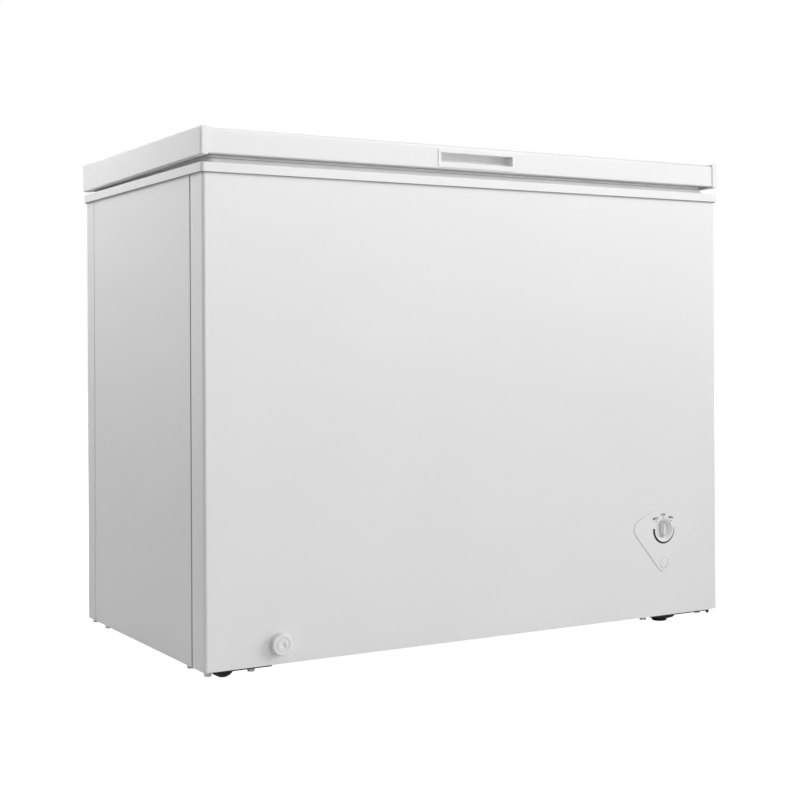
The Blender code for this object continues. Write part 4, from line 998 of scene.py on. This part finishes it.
def wheels():
    half = 0.01
    bore = 0.0028
    z = WHEEL_R - FLOOR_GAP
    points = [(bore, -half), (0.0062, -half), (0.007, -half + 0.003), (0.015, -half + 0.003),
              (0.016, -half), (WHEEL_R, -half), (WHEEL_R, half), (0.016, half), (0.015, half - 0.003),
              (0.007, half - 0.003), (0.0062, half), (bore, half)]
    radii = [0, 0.0006, 0.001, 0.001, 0.0006, 0.0024, 0.0024, 0.0006, 0.001, 0.001, 0.0006, 0]
    for end, y in zip(("front", "rear"), STAND_Y):
        centre = (ROLLER_X, y, z)
        wheel = turned(rounded(points, radii, 5), centre, "y", 72)
        piece(f"wheel_{end}", wheel, "tyre_nylon", f"{end}_wheel", [f"roller_wheel_{end}"])
        axle = lathe([(0, -0.0185), (0.0042, -0.0185), (0.0042, -0.0165), (0.0025, -0.0165),
                      (0.0025, 0.0165),
                      (0.0036, 0.0165), (0.0036, 0.018), (0, 0.018)],
                     [0, 0.001, 0.0003, 0, 0, 0.0003, 0.0006, 0], centre, "y", 32)
        piece(f"wheel_axle_{end}", axle, "plated_fastener", cad=[f"roller_axle_{end}"])


def rail(name, x0, x1, y):
    """A turned-down edge of a bracket along its front, in black enamel; on the galvanised roller brackets
    this black is painted shadow under the cabinet's lower edge.
    """
    section = rounded([(y - 0.041, -0.0046), (y - 0.041, -0.0016), (y - 0.033, -0.0016),
                       (y - 0.033, -0.0026),
                       (y - 0.0398, -0.0026), (y - 0.0398, -0.0046)],
                      [0.0004, 0.0004, 0, 0, 0.0004, 0.0004], 3)
    piece(name, extrude(section, "x", x0, x1), "black_enamel", edge=0.0003)


def roller_brackets():
    z0, z1 = PLATE_Z
    z = WHEEL_R - FLOOR_GAP
    for end, y in zip(("front", "rear"), STAND_Y):
        plate = extrude(box_outline((ROLLER_X - 0.044, y - PLATE_HALF_Y),
                                    (ROLLER_X + 0.044, y + PLATE_HALF_Y), 0.006), "z", z0, z1)
        housing = block((ROLLER_X - 0.03, y - 0.014, -0.0065), (ROLLER_X + 0.03, y + 0.014, 0.028))
        slot = block((ROLLER_X - 0.04, y - 0.012, -0.02), (ROLLER_X + 0.04, y + 0.012, 0.0255))
        bore = rod(AXLE_BORE, -0.03, 0.03, (ROLLER_X, y, z), "y", 24)
        piece(f"roller_plate_{end}", carve(fuse(plate, housing), slot, bore), "galvanised",
              cad=[f"roller_bracket_{end}"], edge=0.0003)
        # Black edge on a galvanised plate: painted shadow under the cabinet's lower edge.
        rail(f"roller_shade_rail_{end}", ROLLER_X - 0.03, ROLLER_X + 0.068, y)
        bolts(f"roller_bolts_{end}", ROLLER_X, y,
              ((-0.0365, -0.032), (0.0352, -0.034), (-0.0365, 0.036), (0.0352, 0.036)))


def feet():
    floor = -FLOOR_GAP
    z0, z1 = PLATE_Z
    for end, y in zip(("front", "rear"), STAND_Y):
        centre = (FOOT_X, y, 0.0)
        outline = box_outline((FOOT_X - 0.068, y - PLATE_HALF_Y), (FOOT_X + 0.086, y + PLATE_HALF_Y), 0.006)
        plate = extrude(outline, "z", z0, z1)
        bush = lathe([(0, -0.0035), (0.009, -0.0035), (0.009, z0 + 0.0005), (0, z0 + 0.0005)],
                     [0, 0.0008, 0, 0], centre, "z", 32)
        bore = rod(STUD_BORE, -0.02, 0.02, centre, "z", 24)
        lug = block((FOOT_X + 0.079, y - PLATE_HALF_Y, -0.0085), (FOOT_X + 0.086, y - 0.0395, z1))
        piece(f"foot_plate_{end}", carve(fuse(plate, bush, lug), bore), "black_enamel",
              cad=[f"foot_bracket_{end}"],
              edge=0.0003)
        rail(f"foot_rail_{end}", FOOT_X - 0.056, FOOT_X + 0.0784, y)
        bolts(f"foot_bolts_{end}", FOOT_X, y,
              ((-0.061, -0.026), (0.07, -0.026), (-0.061, 0.03), (0.07, 0.03)))
        points = [(0, floor), (0.0125, floor), (0.014, floor + 0.0016), (0.014, floor + 0.004),
                  (0.0205, floor + 0.006), (0.0275, floor + 0.0085), (0.0275, floor + 0.012),
                  (0.004, floor + 0.012), (0.004, 0.018), (0, 0.018)]
        radii = [0, 0.0008, 0.0006, 0.001, 0.0012, 0.001, 0.001, 0, 0.0008, 0]
        foot = turned(rounded(points, radii, 4, closed=False), centre, "z", 72)
        piece(f"foot_{end}", foot, "black_moulding", f"{end}_foot", [f"levelling_foot_{end}"])


# ---------------------------------------------------------------- lid


def lid_steel():
    front, rear = -LID_OUT, D + LID_OUT
    hem = 0.01
    path = rounded([(front + hem, LID_BOTTOM), (front, LID_BOTTOM), (front, LID_TOP), (rear, LID_TOP),
                    (rear, LID_BOTTOM), (rear - hem, LID_BOTTOM)], [0, 0.002, 0.006, 0.006, 0.002, 0], 8,
                   closed=False)
    panel = extrude(ribbon(path, -SHEET), "x", -0.0015, W + 0.0015)
    panel = carve(panel, block((HANDLE_X[0] + 0.0026, -0.02, RECESS_Z[0] - 0.0024),
                               (HANDLE_X[1] - 0.0006, 0.01, RECESS_Z[1] + 0.0024)))
    piece("lid_steel", panel, "painted_steel", LID, ["lid_outer_panel"])


def lid_cap(name, right, node):
    """A moulded end cap: rounded outside, hollow over the steel's end."""
    front, rear = -CAP_OUT_Y, D + CAP_OUT_Y - 0.0002
    inner = CAP_W - CAP_OUT_X
    lip = 0.0005

    def ring(x, inset):
        foot = min(inset, CAP_LIP)
        radius = max(CAP_LIP, CAP_R - inset)
        corners = [(front + inset, CAP_LOW[0] + foot), (rear - inset, CAP_LOW[1] + foot),
                   (rear - inset, CAP_TOP - inset), (front + inset, CAP_TOP - inset)]
        return [(x, y, z) for y, z in rounded(corners, [CAP_LIP, CAP_LIP, radius, radius], 8)]

    rings = []
    for i in range(8):
        angle = math.radians(90 * i / 7)
        rings.append(ring(-CAP_OUT_X + CAP_R * (1 - math.cos(angle)), CAP_R * (1 - math.sin(angle))))
    rings += [ring(inner - lip, 0.0), ring(inner - lip * 0.3, lip * 0.3), ring(inner, lip)]

    def cavity(x):
        return [(x, y, z) for y, z in
                box_outline((-LID_OUT - 0.0003, LID_BOTTOM - 0.0003),
                            (D + LID_OUT + 0.0003, LID_TOP + 0.0003),
                            0.0035, 8)]

    rings += [cavity(inner), cavity(-0.002)]
    cap = lofted(rings)
    if right:
        moved(cap, Matrix.Translation((W, 0, 0)) @ Matrix.Scale(-1, 4, (1, 0, 0)))
    piece(name, cap, "moulded_white", LID, [node], angle=40)


def lid_liner():
    points = [(0.062, 0.786), (0.056, 0.7872), (0.0505, 0.7968), (0.015, 0.7968), (0.0128, 0.7918),
              (-0.0012, 0.7918), (-0.0012, 0.7936), (0.011, 0.7936), (0.0125, 0.7988), (0.0513, 0.7988),
              (0.0568, 0.7892), (0.063, 0.788)]
    radii = [0, 0.002, 0.0015, 0.001, 0.001, 0, 0, 0.001, 0.001, 0.0015, 0.002, 0]
    profile = rounded(points, radii, 4, closed=False)
    border = [(0.15, 0.786), (0.146, 0.7866), (0.143, 0.7884), (0.11, 0.7884), (0.107, 0.7866),
              (0.103, 0.786)]
    inside = rounded(border, [0, 0.002, 0.002, 0.002, 0.002, 0], 4, closed=False)
    rings = [cabinet_ring(i, z, 0.02, 8) for i, z in inside]
    rings += [cabinet_ring(i, z, 0.016 if i > 0.03 else 0.006, 8) for i, z in profile]
    piece("lid_liner", lofted(rings), "liner_white", LID, ["lid_inner_liner"])


def lid_seal():
    """The magnetic gasket: a magnet pocket over a folded bellows."""
    low, high = RIM_TOP + 0.0004, 0.7966
    points = [(0.02, high), (0.02, high - 0.0016), (0.0164, high - 0.003), (0.019, high - 0.0046),
              (0.0168, low + 0.0036), (0.0172, low), (0.044, low), (0.044, low + 0.003),
              (0.042, high - 0.005), (0.0438, high - 0.0034), (0.0405, high - 0.0022), (0.0405, high)]
    radii = [0, 0.0004, 0.0008, 0.0006, 0.0008, 0.0016, 0.0016, 0.0008, 0.0006, 0.0008, 0.0004, 0]
    rings = [cabinet_ring(inset, z, 0.01, 6) for inset, z in rounded(points, radii, 4)]
    piece("lid_seal", lofted(rings, closed=True), "seal_rubber", LID, ["lid_gasket"])


def lid_buffer():
    """A rubber strip along the lid's rear edge, inside the end caps."""
    section = box_outline((D - 0.0078, 0.7838), (D - 0.0002, 0.7914), 0.0022, 5)
    piece("lid_buffer", extrude(section, "x", 0.0004, W - 0.0004), "seal_rubber", LID, edge=0.0006)


def lid_grip():
    """The recessed grip: a face plate with soft edges and a cup with a curved floor."""
    face = -LID_OUT - 0.0012
    back = -LID_OUT - 0.0003
    plate = slab((HANDLE_X[0], HANDLE_Z[0]), (HANDLE_X[1], HANDLE_Z[1]), 0.0034, 6, "y", face, back)
    cup = block((HANDLE_X[0] + 0.003, back - 0.0004, RECESS_Z[0] - 0.002),
                (HANDLE_X[1] - 0.001, RECESS_DEPTH + 0.002, RECESS_Z[1] + 0.002))
    z0, z1 = RECESS_Z
    path = [(face - 0.004, z0), (face - 0.004, z1), (RECESS_DEPTH, z1), (RECESS_DEPTH, z0 + 0.01),
            (0.003, z0)]
    path = rounded(path, [0, 0, 0.002, 0.005, 0.006], 6)
    recess = extrude(path, "x", *RECESS_X)
    grip = carve(fuse(plate, cup), recess)
    piece("lid_grip", grip, "moulded_white", LID, ["lid_handle_cup"], edge=0.00045, steps=3, angle=38)


# ---------------------------------------------------------------- hinges


def hinges():
    for side, x in zip(("left", "right"), HINGE_X):
        half = 0.015
        sheet = 0.0015
        low = 0.695
        flat = D + 0.0005
        cheek = [(flat, low), (HINGE_REAR - 0.006, low), (HINGE_REAR, low + 0.006)]
        cheek += arc((PIVOT.y, PIVOT.z), HINGE_REAR - PIVOT.y, 0, 180, 24)
        cheek += [(2 * PIVOT.y - HINGE_REAR, BAND_BOTTOM - 0.002), (flat, BAND_BOTTOM - 0.002)]
        channel = block((x - half + sheet, flat + sheet, low + sheet),
                        (x + half - sheet, 0.6, PIVOT.z + 0.02))
        bore = rod(PIN_BORE, -0.03, 0.03, (x, PIVOT.y, PIVOT.z), "x", 32)
        bracket = carve(extrude(cheek, "x", x - half, x + half), channel, bore)
        piece(f"hinge_channel_{side}", bracket, "galvanised", cad=[f"hinge_bracket_{side}"], edge=0.0003)

        pin = lathe([(0, -0.018), (0.005, -0.018), (0.005, -0.0158), (0.003, -0.0158), (0.003, 0.016),
                     (0.0042, 0.016), (0.0042, 0.0172), (0, 0.018)],
                    [0, 0.0012, 0.0003, 0, 0, 0.0003, 0.0006, 0], (x, PIVOT.y, PIVOT.z), "x", 32)
        piece(f"hinge_rivet_{side}", pin, "plated_fastener", cad=[f"hinge_pin_{side}"])
        hinge_arm(side, x)

        y, top = PLUNGER_Y, PLUNGER_TOP
        slider = soft_block((x - 0.012, y - 0.0065, top - 0.01), (x + 0.012, y + 0.0065, top), 0.0008, 3)
        stem = lathe([(0, 0.729), (0.004, 0.729), (0.004, 0.7445), (0.008, 0.7445), (0.008, top - 0.005),
                      (0, top - 0.005)], [0, 0.0006, 0, 0.0006, 0, 0], (x, y, 0), "z", 32)
        piece(f"hinge_slider_{side}", fuse(slider, stem), "black_moulding", f"{side}_plunger",
              [f"hinge_plunger_{side}"], angle=40)


def hinge_arm(side, x):
    half = 0.012
    sheet = 0.002
    y0 = D + LID_OUT + 0.0004
    cam = []
    for i in range(25):
        share = i / 24
        angle = math.radians(-90 + 85 * share)
        radius = CAM_R - CAM_DROP * share
        cam.append((PIVOT.y + radius * math.cos(angle), PIVOT.z + radius * math.sin(angle)))
    outline = arc((PIVOT.y, PIVOT.z), CAM_R, -150, -93, 8) + cam
    outline += [(PIVOT.y + 0.0045, PIVOT.z + 0.007), (y0 + 0.006, 0.822), (y0 + 0.006, 0.824), (y0, 0.826),
                (y0, LID_BOTTOM + 0.003)]
    arm = extrude(outline, "x", x - half, x + half)
    arm = carve(arm, block((x - half + sheet, y0 + sheet, 0.7), (x + half - sheet, 0.6, 0.85)),
                block((x - half + sheet, 0.5, 0.7), (x + half - sheet, 0.6, LID_BOTTOM + 0.003)),
                rod(PIN_BORE, -0.03, 0.03, (x, PIVOT.y, PIVOT.z), "x", 32))
    piece(f"hinge_leaf_{side}", arm, "galvanised", LID, [f"hinge_arm_{side}"], edge=0.0003)
    screws(f"hinge_screws_{side}", [(x, y0 + sheet, z) for z in (0.801, 0.816)], "y", 0.0036, 0.002, LID)


# ---------------------------------------------------------------- rear and right side


def air_grille():
    """A slotted plate over the bay: a rounded frame cut with three bays of slots."""
    x0 = W + 0.0004
    x1 = x0 + 0.0025
    y0, y1 = GRILLE_Y
    z0, z1 = GRILLE_Z
    plate = slab((y0, z0), (y1, z1), 0.008, 8, "x", x0, x1)
    slots = []
    count = 12
    pitch = (z1 - z0 - 0.024) / count
    for bay in range(3):
        low = y0 + 0.014 + bay * (y1 - y0 - 0.028) / 3
        high = low + (y1 - y0 - 0.028) / 3 - (0.006 if bay < 2 else 0)
        for i in range(count):
            z = z0 + 0.012 + pitch * (i + 0.25)
            shape = box_outline((low, z), (high, z + pitch * 0.5), pitch * 0.22, 4)
            slots.append(extrude(shape, "x", W - 0.01, W + 0.01))
    plate = carve(plate, together(*slots))
    piece("air_grille", plate, "moulded_white", cad=["side_grille"], edge=0.0003)
    corners = [(x1 - 0.0001, y, z) for y in (y0 + 0.007, y1 - 0.007) for z in (z0 + 0.01, z1 - 0.01)]
    screws("grille_screws", corners, "x", 0.0032, 0.001)


def rear_cover():
    """A pressed steel cover with louvres, held by screws along its edges."""
    y0 = D + 0.0004
    y1 = y0 + 0.0012
    (x0, x1), (z0, z1) = COVER_X, COVER_Z
    plate = slab((x0, z0), (x1, z1), 0.006, 6, "y", y0, y1)
    holes = [slab((0.85, z), (0.965, z + 0.01), 0.0045, 5, "y", D - 0.01, D + 0.01) for z in LOUVRE_Z]
    piece("bay_cover", carve(plate, *holes), "galvanised", cad=["rear_access_cover"], edge=0.0003)
    hoods = []
    for z in LOUVRE_Z:
        section = rounded([(y1 - 0.0002, z + 0.0135), (y1 + 0.006, z + 0.003), (y1 + 0.006, z + 0.0018),
                           (y1 + 0.0052, z + 0.0018), (y1 + 0.0046, z + 0.0034), (y1 - 0.0002, z + 0.0118)],
                          [0, 0.001, 0.0003, 0.0003, 0.001, 0], 3)
        hoods.append(extrude(section, "x", 0.852, 0.963))
    piece("cover_louvres", together(*hoods), "galvanised", edge=0.0002)
    edges = [(x, y1, z) for x in (x0 + 0.008, x1 - 0.008) for z in (z0 + 0.01, (z0 + z1) / 2, z1 - 0.01)]
    screws("cover_screws", edges, "y", 0.0038, 0.002)


def gland():
    points = [(0, -0.01), (0.006, -0.01), (0.006, 0.0004), (0.011, 0.0004), (0.011, 0.0036),
              (0.008, 0.005), (0.0065, 0.015), (0.0048, 0.015), (0.0044, 0.004), (0, 0.004)]
    radii = [0, 0.0005, 0, 0.0003, 0.0012, 0.0008, 0.0005, 0.0005, 0.0005, 0]
    body = lathe(points, radii, GLAND, "y", 48)
    piece("cable_gland", body, "black_moulding", cad=["power_inlet_gland"])


# ---------------------------------------------------------------- underside and compressor bay


def underside():
    outline = [(0.0016, 0.0076), (0.0076, 0.0016), (BAY_X - 0.0004, 0.0016), (BAY_X - 0.0004, D - 0.0016),
               (0.0076, D - 0.0016), (0.0016, D - 0.0076)]
    floor = extrude(outline, "z", 0.0005, 0.0013)
    slots = [block((ROLLER_X - 0.032, y - 0.019, -0.01),
                   (ROLLER_X + 0.032, y + 0.019, 0.01)) for y in STAND_Y]
    beads = []
    for x in (0.18, 0.3, 0.42, 0.54, 0.66):
        bead = lofted([[(px, py, z) for px, py in box_outline((x - w, 0.06 - w + 0.008),
                                                              (x + w, D - 0.06 + w),
                                                              w * 0.98, 6)]
                       for w, z in ((0.008, 0.0008), (0.007, -0.0002), (0.0055, -0.0008))])
        beads.append(bead)
    piece("base_sheet", carve(floor, *slots), "galvanised", cad=["base_panel"], edge=0.0002)
    piece("base_beads", together(*beads), "galvanised")
    right, rear = W - 0.0016, D - 0.0016
    section = [(BAY_X + 0.0004, 0.0005), (right, 0.0005), (right, 0.0025), (BAY_X + 0.0024, 0.0025),
               (BAY_X + 0.0024, 0.022), (BAY_X + 0.0004, 0.022)]
    tray = extrude(section, "y", 0.0076, rear - 0.006)
    holes = [rod(TRAY_HOLE_R, -0.01, 0.01, (FOOT_X, y, 0), "z", 24)
             for y in STAND_Y]
    vents = [slab((0.8 + 0.028 * i, 0.17), (0.81 + 0.028 * i, 0.235), 0.0045, 5, "z", -0.01,
                     0.01) for i in range(7)]
    piece("bay_tray", carve(tray, *holes, *vents), "galvanised", cad=["compressor_tray"], edge=0.0003)


def carried_over():
    """The solids that stay, with their own finishes."""
    finishes = {
        "foam_insulation": "rigid_foam", "lid_foam": "rigid_foam", "evaporator_coil": "bare_aluminium",
        "condenser_coil": "drawn_copper", "compressor": "black_enamel", "relay_cover": "black_moulding",
        "discharge_pipe": "drawn_copper", "suction_pipe": "drawn_copper", "liquid_line": "drawn_copper",
        "filter_drier": "drawn_copper", "capillary_tube": "drawn_copper",
        "thermostat_body": "black_moulding",
        "thermostat_sensor": "drawn_copper", "indicator_lamp": "black_moulding",
        "drain_tube": "moulded_white",
        "hinge_spring_left": "spring_steel", "hinge_spring_right": "spring_steel",
    }
    for node, finish in finishes.items():
        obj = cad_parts[node]
        obj.data.materials.clear()
        obj.data.materials.append(FINISHES[finish])
        obj.data.shade_smooth()
        obj.data.set_sharp_from_angle(angle=math.radians(35))


# ---------------------------------------------------------------- assembly


make_camera()
make_light()
make_floor()
skins()
frame_collar()
frame_shade_strip()
tub_liner()
drain_plug()
basket_wires()
basket_grips()
bezel()
bezel_seal()
dial_print()
knob()
lens()
drain_cap()
wheels()
roller_brackets()
feet()
lid_steel()
lid_cap("lid_cap_left", False, "lid_end_cap_left")
lid_cap("lid_cap_right", True, "lid_end_cap_right")
lid_liner()
lid_seal()
lid_buffer()
lid_grip()
hinges()
air_grille()
rear_cover()
gland()
underside()
carried_over()
